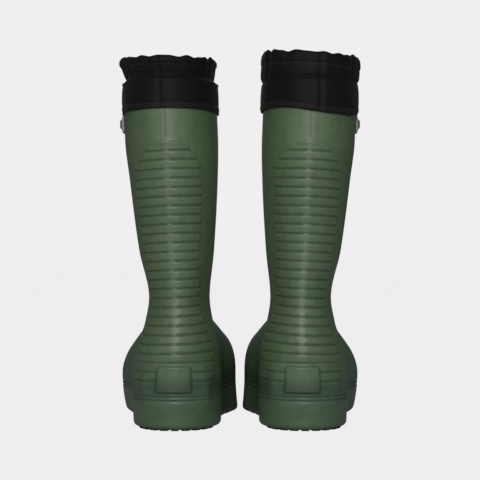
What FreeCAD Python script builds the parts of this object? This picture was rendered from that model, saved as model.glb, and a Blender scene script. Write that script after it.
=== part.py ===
import FreeCAD, Part
import math
import os
import Sketcher

# A pair of tall insulated pull-on boots, standing side by side, toes towards +Y.
#
# Each boot is a thick moulded foam shell on two rubber treads. Inside it lies a layered liner
# (woven skin, felt, pile) with a footbed. A padded fabric cuff is turned down over the rim of
# the shell, and a gathered collar with an elastic in its top hem stands up from it. A short
# webbing tab hangs from the hem of the cuff on the outer side and is held by a press stud.
#
# Frame: +Z up, +X to the right boot, origin under the middle of the pair, on the ground.
# The left boot is the mirror image of the right one, apart from how far its collar is nipped.

Vector = FreeCAD.Vector
doc = FreeCAD.newDocument("InsulatedBoots")

# ---------------------------------------------------------------- driving dimensions (mm)

# The upright part of a boot, level by level from the ground: height, middle line (distance
# from the plane between the boots), half width, and how far its back and its front lie in
# front of the back of the heel.
LEVELS = {
    "sole": (8, 68.5, 47.0, 2, 120),
    "heel": (30, 68.5, 48.5, 0, 125),
    "counter": (78, 68.0, 46.0, 0, 132),
    "hollow": (112, 66.5, 37.0, 7, 140),
    "ankle": (138, 66.5, 33.2, 13, 146),
    "shin": (190, 69.5, 41.0, 14, 146),
    "calf": (265, 72.5, 48.0, 9, 149),
    "upper": (312, 75.0, 51.0, 6, 152),
    "rim": (366, 76.4, 50.8, 4, 154),
}
LEVEL_FIELDS = ("height", "middle", "half_width", "back", "front")

# The foot, station by station: distance in front of the back of the heel, middle line,
# half width, and height of its top line. In front of the ball it closes in one round cap.
STATIONS = {
    "seat": (20, 68.5, 30.0, 62),
    "waist": (100, 69.5, 43.0, 112),
    "instep": (150, 71.8, 53.5, 126),
    "ball": (205, 72.2, 67.0, 108),
}
STATION_FIELDS = ("place", "middle", "half_width", "top")

SIZES = {
    "outsole_length": 310,
    "foot_widest_height": 45,
    "foot_floor_taper": 1,
    "foot_floor_shift": 3,
    "foot_inner_power": 2.6,
    "foot_outer_power": 1.85,
    "toe_shift": 8,
    "toe_power": 2.4,
    "toe_drop": 0.4,
    "instep_blend": 18,
    "axis_middle": 68,
    "axis_place": 75,
    # Shell
    "shell_wall": 4.8,
    "shell_floor": 30,
    "skirt_bottom": 3,
    "kick_depth": 3,
    "kick_top_width": 36.5,
    "kick_bottom_width": 41,
    "kick_bottom": 40,
    "kick_top": 68.5,
    "kick_block_length": 12,
    "kick_root": 2.4,
    "kick_chamfer": 1,
    # Ribbed panel on the back of the shell
    "rib_first": 71.5,
    "rib_pitch": 9.7,
    "rib_count": 24,
    "groove_width": 2.2,
    "groove_depth": 1.2,
    "groove_half_angle": 56,
    "clear_behind": 20,
    # Liner, from the shell inwards
    "fit_gap": 0.3,
    "skin_thickness": 0.8,
    "felt_thickness": 2.5,
    "felt_floor": 2.5,
    "pile_thickness": 1.6,
    "footbed_thickness": 4.5,
    "footbed_gap": 0.6,
    # Cuff and collar
    "cuff_bottom": 339,
    "cuff_top": 370,
    "cuff_thickness": 3,
    "cuff_gap": 0.4,
    "hem_width": 7,
    "hem_thickness": 0.8,
    "hem_gap": 0.1,
    "collar_foot_gap": 0.1,
    "collar_foot_step": 1,
    "collar_lip_step": 0.5,
    "collar_top": 403,
    "collar_ply": 1.2,
    "collar_tunnel": 1.6,
    "tunnel_bottom": 387,
    "elastic_bottom": 391,
    "elastic_top": 400,
    "elastic_gap": 0.2,
    "nip_height": 377,
    "nip_left": 5,
    "nip_right": 2,
    "flare_height": 393,
    "flare": 4,
    # Side tab with its press stud
    "tab_top": 338,
    "tab_drop": 20,
    "tab_width": 14,
    "tab_thickness": 1.6,
    "tab_standoff": 1.9,
    "tab_corner": 3,
    "stud_height": 328,
    "stud_seat_depth": 0.8,
    "stud_base_radius": 4,
    "stud_head_radius": 1.9,
    "stud_head_depth": 1.2,
    "socket_radius": 4.2,
    "socket_depth": 1.1,
    "socket_bore": 2.5,
    "cap_radius": 4.8,
    "cap_depth": 1.4,
    "cap_edge": 0.9,
    "post_radius": 1.2,
    "post_gap": 0.1,
    # Treads
    "tread_plate": 3,
    "lug_depth": 5,
    "heel_tread_radius": 40,
    "heel_tread_front": 40,
    "heel_lug_length": 11,
    "heel_lug_width": 8,
    "heel_lug_count": 11,
    "heel_lug_edge": 0.4,
    "heel_bar_length": 44,
    "heel_bar_first": -12,
    "heel_bar_pitch": 18,
    "heel_bar_count": 3,
    "side_lug_first": 18,
    "side_lug_pitch": 16,
    "side_lug_count": 2,
    "fore_tread_back": 142,
    "fore_lug_pitch": 15,
    "fore_lug_width": 8,
    "fore_lug_count": 11,
    "fore_lug_first": 2,
    "fore_lug_slant": 14,
    "fore_spine_gap": 8,
    "fore_spine_shift": 2,
    "fore_half_cut": 90,
    "smallest_lug": 60,
    "smallest_pocket": 10000,
    "tread_inset": 6,
}

for level, row in LEVELS.items():
    for field, number in zip(LEVEL_FIELDS, row):
        SIZES[f"{level}_{field}"] = number
for station, row in STATIONS.items():
    for field, number in zip(STATION_FIELDS, row):
        SIZES[f"{station}_{field}"] = number

sheet = doc.addObject("Spreadsheet::Sheet", "Dimensions")
for line, (name, number) in enumerate(SIZES.items(), start=1):
    sheet.set(f"A{line}", name)
    sheet.set(f"B{line}", str(number))
    sheet.setAlias(f"B{line}", name)
doc.recompute()


def size(name):
    """A driving dimension, read back from the sheet."""
    return float(sheet.get(name))


SIDES = {"left": -1, "right": 1}
OVERALL_LENGTH = size("outsole_length") + size("kick_depth")


def ahead(place):
    """Y of a point that lies so far in front of the back of the heel."""
    return place + size("kick_depth") - OVERALL_LENGTH / 2


# ---------------------------------------------------------------- shape of a boot


def stations(kinds, key, field):
    return [(size(f"{kind}_{key}"), size(f"{kind}_{field}")) for kind in kinds]


def along(points, place):
    """Smooth value at a place, through (place, value) points; level beyond both ends."""
    if place <= points[0][0]:
        return points[0][1]
    if place >= points[-1][0]:
        return points[-1][1]
    i = 0
    while points[i + 1][0] < place:
        i += 1

    def slope(k):
        if k in (0, len(points) - 1):
            return 0.0
        before, here, after = points[k - 1], points[k], points[k + 1]
        rise_in = (here[1] - before[1]) / (here[0] - before[0])
        rise_out = (after[1] - here[1]) / (after[0] - here[0])
        if rise_in * rise_out <= 0:
            return 0.0
        return 2 * rise_in * rise_out / (rise_in + rise_out)

    (x0, y0), (x1, y1) = points[i], points[i + 1]
    span = x1 - x0
    u = (place - x0) / span
    return (
        y0 * (1 + 2 * u) * (1 - u) ** 2
        + slope(i) * span * u * (1 - u) ** 2
        + y1 * u * u * (3 - 2 * u)
        + slope(i + 1) * span * u * u * (u - 1)
    )


UPRIGHT = {field: stations(LEVELS, "height", field) for field in LEVEL_FIELDS[1:]}
FOOT = {field: stations(STATIONS, "place", field) for field in STATION_FIELDS[1:]}
LENGTH = size("outsole_length")
BALL = size("ball_place")
SEAT = size("seat_place")
WIDEST = size("foot_widest_height")
GROUND_CLEARANCE = size("sole_height")
TAPER = size("foot_floor_taper")
FLOOR_SHIFT = size("foot_floor_shift")
INNER_POWER = size("foot_inner_power")
OUTER_POWER = size("foot_outer_power")
TOE_SHIFT = size("toe_shift")
TOE_POWER = size("toe_power")
TOE_DROP = size("toe_drop")
BLEND = size("instep_blend")
AXIS_X = size("axis_middle")
AXIS_Y = size("axis_place")


def oval_distance(x, y, half_x, half_y, power=2.0):
    """Rough signed distance from a point to an oval, fuller as its power is higher."""
    u = abs(x / half_x)
    v = abs(y / half_y)
    grown = (u**power + v**power) ** (1 / power)
    if grown < 0.05:
        return -min(half_x, half_y)
    steep = math.hypot(u ** (power - 1) / half_x, v ** (power - 1) / half_y)
    return (grown - 1) * grown ** (power - 1) / steep


def upright_distance(x, y, z, inset):
    """Rough signed distance to the shaft, ankle and heel, negative inside."""
    half_width = along(UPRIGHT["half_width"], z) - inset
    back = along(UPRIGHT["back"], z) + inset
    front = along(UPRIGHT["front"], z) - inset
    across = x - along(UPRIGHT["middle"], z)
    return oval_distance(across, y - (front + back) / 2, half_width, (front - back) / 2)


def foot_distance(x, y, z, inset):
    """Rough signed distance to the foot, negative inside."""
    if y < SEAT:
        return math.hypot(SEAT - y, max(foot_distance(x, SEAT, z, inset), 0))
    toe = LENGTH - inset
    if y >= toe:
        return y - toe + 1
    half_width = along(FOOT["half_width"], y) - inset
    top = along(FOOT["top"], y) - inset
    middle = along(FOOT["middle"], y)
    if y > BALL:
        gone = (y - BALL) / (toe - BALL)
        half_width *= math.sqrt(1 - gone**TOE_POWER)
        top = WIDEST + (top - WIDEST) * (1 - TOE_DROP * gone) * math.sqrt(1 - gone**3)
        middle -= TOE_SHIFT * gone * gone
    if z < WIDEST:
        fall = (WIDEST - z) / (WIDEST - GROUND_CLEARANCE)
        half_width = max(half_width - TAPER * fall * fall, 0.05)
        return abs(x - middle + FLOOR_SHIFT * fall * fall) - half_width
    power = INNER_POWER if x < middle else OUTER_POWER
    half_width = max(half_width, 0.5)
    return oval_distance(x - middle, z - WIDEST, half_width, max(top - WIDEST, 0.5), power)


def boot_distance(x, y, z, inset):
    """Shaft and foot run into each other over the blend at the instep."""
    upright = upright_distance(x, y, z, inset)
    foot = foot_distance(x, y, z, inset)
    near = max(BLEND - abs(upright - foot), 0) / BLEND
    return min(upright, foot) - near * near * BLEND / 4


def reach(bearing, z, inset):
    """Distance from the boot's upright axis to its surface, along a bearing in the XY plane."""
    dx = math.cos(bearing)
    dy = math.sin(bearing)
    low = 0.0
    high = 260.0
    for _ in range(19):
        middle = (low + high) / 2
        if boot_distance(AXIS_X + middle * dx, AXIS_Y + middle * dy, z, inset) < 0:
            low = middle
        else:
            high = middle
    return low


def even_bearings(count):
    """Bearings of equal steps along the outline of the foot, starting straight back."""
    fine = 720
    angles = [-math.pi / 2 + 2 * math.pi * k / fine for k in range(fine + 1)]
    points = []
    for angle in angles:
        radius = reach(angle, WIDEST, 0)
        points.append((radius * math.cos(angle), radius * math.sin(angle)))
    lengths = [0.0]
    for (x0, y0), (x1, y1) in zip(points, points[1:]):
        lengths.append(lengths[-1] + math.hypot(x1 - x0, y1 - y0))
    bearings = []
    k = 0
    for step in range(count):
        target = lengths[-1] * step / count
        while lengths[k + 1] < target:
            k += 1
        part = (target - lengths[k]) / (lengths[k + 1] - lengths[k])
        bearings.append(angles[k] + part * (angles[k + 1] - angles[k]))
    return bearings


COLUMNS = 56
BEARINGS = even_bearings(COLUMNS)
ROW_STEP = 13.0
LEAST_ROWS = 10
known_meridians = {}


def steady(inset):
    """An inset that is the same at every height."""
    return lambda z: inset


def meridian(bearing, inset, bottom, top, rows):
    """(radius, height) of rows + 1 points, evenly spaced along the surface from bottom to top."""
    fine = max(rows * 4, int((top - bottom) / 2.5))
    line = []
    for k in range(fine + 1):
        z = bottom + (top - bottom) * k / fine
        line.append((reach(bearing, z, inset(z)), z))
    lengths = [0.0]
    for (r0, z0), (r1, z1) in zip(line, line[1:]):
        lengths.append(lengths[-1] + math.hypot(r1 - r0, z1 - z0))
    result = []
    k = 0
    for row in range(rows + 1):
        target = lengths[-1] * row / rows
        while k < fine - 1 and lengths[k + 1] < target:
            k += 1
        part = (target - lengths[k]) / (lengths[k + 1] - lengths[k])
        z = line[k][1] + part * (line[k + 1][1] - line[k][1])
        result.append((reach(bearing, z, inset(z)), z))
    return result


def ring_curve(points):
    """A closed smooth curve through points, with the same knots at every height."""
    curve = Part.BSplineCurve()
    places = [k / len(points) for k in range(len(points) + 1)]
    curve.interpolate(Points=points, PeriodicFlag=True, Parameters=places)
    return curve


def ring_wire(points):
    return Part.Wire([ring_curve(points).toShape()])


def level_points(side, inset, z):
    points = []
    for bearing in BEARINGS:
        radius = reach(bearing, z, inset)
        x = side * (AXIS_X + radius * math.cos(bearing))
        points.append(Vector(x, ahead(AXIS_Y + radius * math.sin(bearing)), z))
    return points


def level_wire(side, inset, z):
    """The outline that the boot's surface, drawn in by an inset, has at a height."""
    return ring_wire(level_points(side, inset, z))


def wall_face(side, inset_at, bottom, top, key):
    """The drawn-in surface itself between two heights, smooth and closed all round."""
    rows = max(LEAST_ROWS, math.ceil((top - bottom) * 1.25 / ROW_STEP))
    name = (key, bottom, top)
    if name not in known_meridians:
        known_meridians[name] = [
            meridian(bearing, inset_at, bottom, top, rows) for bearing in BEARINGS
        ]
    rings = []
    for row in range(rows + 1):
        points = []
        for bearing, line in zip(BEARINGS, known_meridians[name]):
            radius, z = line[row]
            x = side * (AXIS_X + radius * math.cos(bearing))
            points.append(Vector(x, ahead(AXIS_Y + radius * math.sin(bearing)), z))
        rings.append(ring_curve(points))
    heights = [row / rows for row in range(rows + 1)]
    poles = []
    for column in zip(*(ring.getPoles() for ring in rings)):
        rise = Part.BSplineCurve()
        rise.interpolate(Points=list(column), Parameters=heights)
        poles.append(rise.getPoles())
    around = rings[0]
    surface = Part.BSplineSurface()
    surface.buildFromPolesMultsKnots(
        poles,
        around.getMultiplicities(),
        rise.getMultiplicities(),
        around.getKnots(),
        rise.getKnots(),
        True,
        False,
        around.Degree,
        rise.Degree,
    )
    return surface.toShape()


def turned_solid(side, corners, base=steady, key=None):
    """A wall that follows the boot all round, from the (inset, height) corners of its section.

    Two corners at one inset are joined by a wall, and two at one height by a flat ring. A
    section that ends at two different heights is closed by a flat floor at each end.
    """
    faces = []
    loop = list(zip(corners, corners[1:]))
    closed = corners[0][1] == corners[-1][1]
    if closed:
        loop.append((corners[-1], corners[0]))
    else:
        for inset, z in (corners[0], corners[-1]):
            faces.append(Part.Face(level_wire(side, base(inset)(z), z)))
    for (inset0, z0), (inset1, z1) in loop:
        if z0 == z1:
            insets = sorted((inset0, inset1))
            wires = [level_wire(side, base(inset)(z0), z0) for inset in insets]
            faces.append(Part.Face(wires[0]).cut(Part.Face(wires[1])).Faces[0])
        else:
            low, high = sorted((z0, z1))
            faces.append(wall_face(side, base(inset0), low, high, (key, inset0)))
    skin = Part.Shell(faces)
    skin.sewShape()
    return Part.makeSolid(skin)


def block(low, high):
    """An upright box between two corners."""
    return Part.makeBox(*(b - a for a, b in zip(low, high)), Vector(*low))


# ---------------------------------------------------------------- document helpers

PARTS = []


def keep(thing, label):
    """Lists a document object as a sub-part under its own name."""
    thing.Label = label
    PARTS.append(thing)
    return thing


def shaped(label, shape):
    """A sub-part whose free-form shape is worked out from the sheet."""
    thing = doc.addObject("Part::Feature", label)
    thing.Shape = shape
    thing.Placement = FreeCAD.Placement()
    return keep(thing, label)


def add(kind, name, **expressions):
    """A document object whose properties follow cells of the sheet."""
    thing = doc.addObject(kind, name)
    for prop, expression in expressions.items():
        thing.setExpression(prop, expression)
    return thing


def origin_plane(body, role):
    for feature in body.Origin.OriginFeatures:
        if feature.Role == role:
            return feature
    raise RuntimeError(f"{body.Label} has no {role}")


def sketch_on(body, role, name):
    sketch = body.newObject("Sketcher::SketchObject", name)
    sketch.AttachmentSupport = [(origin_plane(body, role), "")]
    sketch.MapMode = "FlatFace"
    return sketch


def draw_rectangle(sketch, width, height, middle=("0", "0")):
    """A rectangle bound to sheet expressions: its size, and its middle from the origin."""
    first = sketch.GeometryCount
    x, y = 5, 3
    corners = [Vector(-x, -y, 0), Vector(x, -y, 0), Vector(x, y, 0), Vector(-x, y, 0)]
    for k in range(4):
        sketch.addGeometry(Part.LineSegment(corners[k], corners[(k + 1) % 4]), False)
    for k in range(4):
        sketch.addConstraint(
            Sketcher.Constraint("Coincident", first + k, 2, first + (k + 1) % 4, 1)
        )
    for k in (0, 2):
        sketch.addConstraint(Sketcher.Constraint("Horizontal", first + k))
        sketch.addConstraint(Sketcher.Constraint("Vertical", first + k + 1))
    bound = (
        (("DistanceX", first, 1, first, 2, 2 * x), width),
        (("DistanceY", first + 1, 1, first + 1, 2, 2 * y), height),
        (("DistanceX", -1, 1, first, 1, -x), f"{middle[0]} - ({width}) / 2"),
        (("DistanceY", -1, 1, first, 1, -y), f"{middle[1]} - ({height}) / 2"),
    )
    for arguments, expression in bound:
        index = sketch.addConstraint(Sketcher.Constraint(*arguments))
        sketch.setExpression(f"Constraints[{index}]", expression)


def pad(body, sketch, name, length, **properties):
    feature = body.newObject("PartDesign::Pad", name)
    feature.Profile = sketch
    feature.setExpression("Length", length)
    for prop, setting in properties.items():
        setattr(feature, prop, setting)
    return feature


# ---------------------------------------------------------------- shell


def area_behind(side, z, inset):
    """The level area from the back of the boot, drawn in by an inset, to well clear of it."""
    half_angle = math.radians(size("groove_half_angle"))
    steps = 6
    outline = []
    for k in range(2 * steps + 1):
        bearing = -math.pi / 2 + half_angle * (k / steps - 1)
        radius = reach(bearing, z, inset)
        x = side * (AXIS_X + radius * math.cos(bearing))
        outline.append(Vector(x, ahead(AXIS_Y + radius * math.sin(bearing)), z))
    curve = Part.BSplineCurve()
    curve.interpolate(outline)
    far = ahead(-size("clear_behind"))
    start = outline[0]
    end = outline[-1]
    corners = [end, Vector(end.x, far, z), Vector(start.x, far, z), start]
    edges = [curve.toShape()]
    edges += [Part.LineSegment(a, b).toShape() for a, b in zip(corners, corners[1:])]
    return Part.Face(Part.Wire(edges))


def rib_grooves(side):
    """Level grooves across the ribbed panel on the back of the shaft and heel."""
    cutters = []
    width = size("groove_width")
    for number in range(int(size("rib_count"))):
        z = size("rib_first") + number * size("rib_pitch")
        face = area_behind(side, z, size("groove_depth"))
        face.translate(Vector(0, 0, -width / 2))
        cutters.append(face.extrude(Vector(0, 0, width)))
    return cutters


def kick_block(side):
    """The trapezoid kick-off block on the back of the heel, rooted inside the shell's wall."""
    middle = side * size("heel_middle")
    back = ahead(-size("kick_depth"))
    low = size("kick_bottom")
    high = size("kick_top")
    half_low = size("kick_bottom_width") / 2
    half_high = size("kick_top_width") / 2
    outline = [(-half_low, low), (half_low, low), (half_high, high), (-half_high, high)]
    corners = [Vector(middle + x, back, z) for x, z in outline]
    face = Part.Face(Part.makePolygon(corners + corners[:1]))
    solid = face.extrude(Vector(0, size("kick_block_length"), 0))
    outer = [edge for edge in solid.Edges if edge.BoundBox.YMax < back + 0.01]
    solid = solid.makeChamfer(size("kick_chamfer"), outer)
    root = area_behind(side, (low + high) / 2, size("kick_root"))
    root.translate(Vector(0, 0, low - high))
    return solid.common(root.extrude(Vector(0, 0, 2 * (high - low))))


def stud_seat(side):
    """The flat pocket that the press stud is set into, and its place."""
    z = size("stud_height")
    y = (along(UPRIGHT["back"], z) + along(UPRIGHT["front"], z)) / 2
    x = along(UPRIGHT["middle"], z) + along(UPRIGHT["half_width"], z)
    place = Vector(side * (x - size("stud_seat_depth")), ahead(y), z)
    radius = size("stud_base_radius") + size("fit_gap")
    return place, Part.makeCylinder(radius, 10, place, Vector(side, 0, 0))


def heel_pocket(side):
    """The pocket that the D-shaped heel tread is let into."""
    radius = size("heel_tread_radius") + size("fit_gap")
    front = size("heel_tread_front") + size("fit_gap")
    corners = [Vector(radius, 0, 0), Vector(radius, front, 0), Vector(-radius, front, 0)]
    corners.append(Vector(-radius, 0, 0))
    edges = [Part.Arc(corners[-1], Vector(0, -radius, 0), corners[0]).toShape()]
    edges += [Part.LineSegment(a, b).toShape() for a, b in zip(corners, corners[1:])]
    face = Part.Face(Part.Wire(edges))
    face.translate(Vector(side * size("heel_middle"), heel_tread_centre(), 0))
    return face.extrude(Vector(0, 0, GROUND_CLEARANCE))


def heel_tread_centre():
    return ahead(size("heel_tread_radius") + size("tread_inset"))


def fore_region(side, inset, back, thickness):
    """The sole's outline from a place forward, drawn in by an inset, below the foam."""
    outline = Part.Face(level_wire(side, inset, GROUND_CLEARANCE))
    region = outline.extrude(Vector(0, 0, -thickness))
    half = size("fore_half_cut")
    middle = side * size("ball_middle")
    low = (middle - half, ahead(back), GROUND_CLEARANCE - thickness)
    return region.common(block(low, (middle + half, ahead(LENGTH), GROUND_CLEARANCE)))


def fore_pocket(side):
    """The pocket that the forefoot tread is let into."""
    gap = size("fit_gap")
    inset = size("tread_inset") - gap
    return fore_region(side, inset, size("fore_tread_back") - gap, GROUND_CLEARANCE)


def make_shell(name, side):
    wall = size("shell_wall")
    rim = size("rim_height")
    section = [(0, size("skirt_bottom")), (0, rim), (wall, rim), (wall, size("shell_floor"))]
    solid = turned_solid(side, section).fuse(kick_block(side))
    plain_faces = len(solid.Faces)
    solid = solid.cut(rib_grooves(side) + [stud_seat(side)[1]])
    if len(solid.Faces) < plain_faces + 3 * size("rib_count"):
        raise RuntimeError("the grooves of the shell removed nothing")
    full = solid.Volume
    solid = solid.cut([heel_pocket(side), fore_pocket(side)])
    if solid.Volume > full - size("smallest_pocket"):
        raise RuntimeError("the tread pockets removed nothing")
    shaped(f"{name}_shell", solid)


# ---------------------------------------------------------------- liner


def liner_layers():
    """(node, outer inset, inner inset, bottom of the layer, top of its floor), from outside in."""
    gap = size("fit_gap")
    layers = []
    inset = size("shell_wall") + gap
    bottom = size("shell_floor") + gap
    for node, thickness, floor in (
        ("liner_skin", size("skin_thickness"), size("skin_thickness")),
        ("liner_felt", size("felt_thickness"), size("felt_floor")),
        ("liner_pile", size("pile_thickness"), size("pile_thickness")),
    ):
        layers.append((node, inset, inset + thickness, bottom, bottom + floor))
        inset += thickness + gap
        bottom += floor + gap
    return layers


def make_liner(name, side):
    top = size("rim_height")
    for node, outer, inner, bottom, floor in liner_layers():
        section = [(outer, bottom), (outer, top), (inner, top), (inner, floor)]
        shaped(f"{name}_{node}", turned_solid(side, section))
    bed = Part.Face(level_wire(side, inner + size("footbed_gap"), floor + size("fit_gap")))
    shaped(f"{name}_footbed", bed.extrude(Vector(0, 0, size("footbed_thickness"))))


# ---------------------------------------------------------------- cuff and collar


def make_cuff(name, side):
    """The turned-down band: a wall outside the shell and a flange over its rim."""
    gap = size("cuff_gap")
    bottom = size("cuff_bottom")
    top = size("cuff_top")
    rim = size("rim_height") + gap
    inner = liner_layers()[-1][2]
    outside = -gap - size("cuff_thickness")
    band = [
        (outside, bottom),
        (outside, top),
        (inner, top),
        (inner, rim),
        (-gap, rim),
        (-gap, bottom),
    ]
    shaped(f"{name}_cuff_band", turned_solid(side, band))
    hem_inside = outside - size("hem_gap")
    hem_outside = hem_inside - size("hem_thickness")
    hem_top = bottom + size("hem_width")
    hem = [
        (hem_outside, bottom),
        (hem_outside, hem_top),
        (hem_inside, hem_top),
        (hem_inside, bottom),
    ]
    shaped(f"{name}_hem_tape", turned_solid(side, hem))


def collar_line(side_name):
    """Inset of the collar's outer face by height: nipped in above the cuff, then flared."""
    start = -size("cuff_gap") - size("cuff_thickness")
    points = [
        (size("cuff_top"), start + size("collar_foot_step")),
        (size("nip_height"), size(f"nip_{side_name}")),
        (size("flare_height"), -size("flare")),
        (size("collar_top"), size("collar_lip_step") - size("flare")),
    ]
    return lambda extra: lambda z: along(points, z) + extra


def make_collar(name, side):
    """A ply that turns over at the top into a tunnel, with the elastic in it."""
    line = collar_line(name)
    foot = size("cuff_top") + size("collar_foot_gap")
    top = size("collar_top")
    ply = size("collar_ply")
    tunnel = size("collar_tunnel")
    tunnel_bottom = size("tunnel_bottom")
    crown = top - ply
    inner = 2 * ply + tunnel
    collar = [
        (0, foot),
        (0, top),
        (inner, top),
        (inner, tunnel_bottom),
        (ply + tunnel, tunnel_bottom),
        (ply + tunnel, crown),
        (ply, crown),
        (ply, foot),
    ]
    shaped(f"{name}_collar", turned_solid(side, collar, line, name))

    gap = size("elastic_gap")
    low = size("elastic_bottom")
    high = size("elastic_top")
    outer = ply + gap
    inner = ply + tunnel - gap
    elastic = [(outer, low), (outer, high), (inner, high), (inner, low)]
    shaped(f"{name}_collar_elastic", turned_solid(side, elastic, line, name))


# ---------------------------------------------------------------- side tab and press stud


def cylinder(name, radius, length, start, side):
    """A round piece whose axis points away from the boot's side."""
    thing = add("Part::Cylinder", name, Radius=radius, Height=length)
    turn = FreeCAD.Rotation(Vector(0, 0, 1), Vector(side, 0, 0))
    thing.Placement = FreeCAD.Placement(start, turn)
    return thing


def make_side_tab(name, side):
    seat = stud_seat(side)[0]
    out = Vector(side, 0, 0)
    tab_inside = Vector(seat.x, seat.y, 0) + out * (size("stud_seat_depth") + size("tab_standoff"))
    thickness = size("tab_thickness")

    body = doc.addObject("PartDesign::Body", f"{name}_side_tab")
    outline = sketch_on(body, "YZ_Plane", f"{name}_tab_outline")
    drop = "Dimensions.tab_drop"
    draw_rectangle(outline, "Dimensions.tab_width", drop, ("0", f"-{drop} / 2"))
    strip = pad(body, outline, f"{name}_tab_strip", "Dimensions.tab_thickness", Midplane=True)
    hole_sketch = sketch_on(body, "YZ_Plane", f"{name}_tab_hole")
    hole_radius = size("post_radius") + size("post_gap")
    hole_drop = size("tab_top") - size("stud_height")
    circle = Part.Circle(Vector(0, -hole_drop, 0), Vector(0, 0, 1), hole_radius)
    hole_sketch.addGeometry(circle, False)
    radius = hole_sketch.addConstraint(Sketcher.Constraint("Radius", 0, hole_radius))
    hole_sketch.setExpression(
        f"Constraints[{radius}]", "Dimensions.post_radius + Dimensions.post_gap"
    )
    hole_sketch.addConstraint(Sketcher.Constraint("PointOnObject", 0, 3, -2))
    depth = hole_sketch.addConstraint(Sketcher.Constraint("DistanceY", 0, 3, -1, 1, hole_drop))
    hole_sketch.setExpression(
        f"Constraints[{depth}]", "Dimensions.tab_top - Dimensions.stud_height"
    )
    hole = body.newObject("PartDesign::Pocket", f"{name}_tab_post_hole")
    hole.Profile = hole_sketch
    hole.Type = 1
    hole.Midplane = True
    doc.recompute()
    if hole.Shape.Volume > strip.Shape.Volume - 1:
        raise RuntimeError("the hole in the tab removed nothing")
    low = -size("tab_drop") + 0.01
    corners = [
        f"Edge{number}"
        for number, edge in enumerate(hole.Shape.Edges, start=1)
        if edge.BoundBox.ZMax < low and edge.BoundBox.YLength < 0.01
    ]
    rounding = body.newObject("PartDesign::Fillet", f"{name}_tab_corners")
    rounding.Base = (hole, corners)
    rounding.setExpression("Radius", "Dimensions.tab_corner")
    body.Placement.Base = Vector(tab_inside.x + side * thickness / 2, seat.y, size("tab_top"))
    keep(body, f"{name}_side_tab")

    base = cylinder(
        f"{name}_stud_base", "Dimensions.stud_base_radius", "Dimensions.stud_seat_depth", seat, side
    )
    head_start = seat + out * size("stud_seat_depth")
    head = cylinder(
        f"{name}_stud_head",
        "Dimensions.stud_head_radius",
        "Dimensions.stud_head_depth",
        head_start,
        side,
    )
    stud = doc.addObject("Part::Fuse", f"{name}_snap_stud")
    stud.Base = base
    stud.Tool = head
    keep(stud, f"{name}_snap_stud")

    socket_start = Vector(tab_inside.x, seat.y, seat.z) - out * size("socket_depth")
    disc = cylinder(
        f"{name}_socket_disc", "Dimensions.socket_radius", "Dimensions.socket_depth", socket_start, side
    )
    bore = cylinder(
        f"{name}_socket_bore",
        "Dimensions.socket_bore",
        "Dimensions.socket_depth + 2",
        socket_start - out,
        side,
    )
    socket = doc.addObject("Part::Cut", f"{name}_snap_socket")
    socket.Base = disc
    socket.Tool = bore
    keep(socket, f"{name}_snap_socket")

    cap_start = Vector(tab_inside.x, seat.y, seat.z) + out * thickness
    dome = cylinder(f"{name}_cap_disc", "Dimensions.cap_radius", "Dimensions.cap_depth", cap_start, side)
    doc.recompute()
    rim = [
        number
        for number, edge in enumerate(dome.Shape.Edges, start=1)
        if edge.BoundBox.XLength < 0.01 and side * (edge.BoundBox.Center.x - cap_start.x) > 0.5
    ]
    rounded = doc.addObject("Part::Fillet", f"{name}_cap_dome")
    rounded.Base = dome
    rounded.Edges = [(number, size("cap_edge"), size("cap_edge")) for number in rim]
    post = cylinder(
        f"{name}_cap_post",
        "Dimensions.post_radius",
        "Dimensions.tab_thickness",
        cap_start - out * thickness,
        side,
    )
    cap = doc.addObject("Part::Fuse", f"{name}_snap_cap")
    cap.Base = rounded
    cap.Tool = post
    keep(cap, f"{name}_snap_cap")


# ---------------------------------------------------------------- treads


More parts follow.
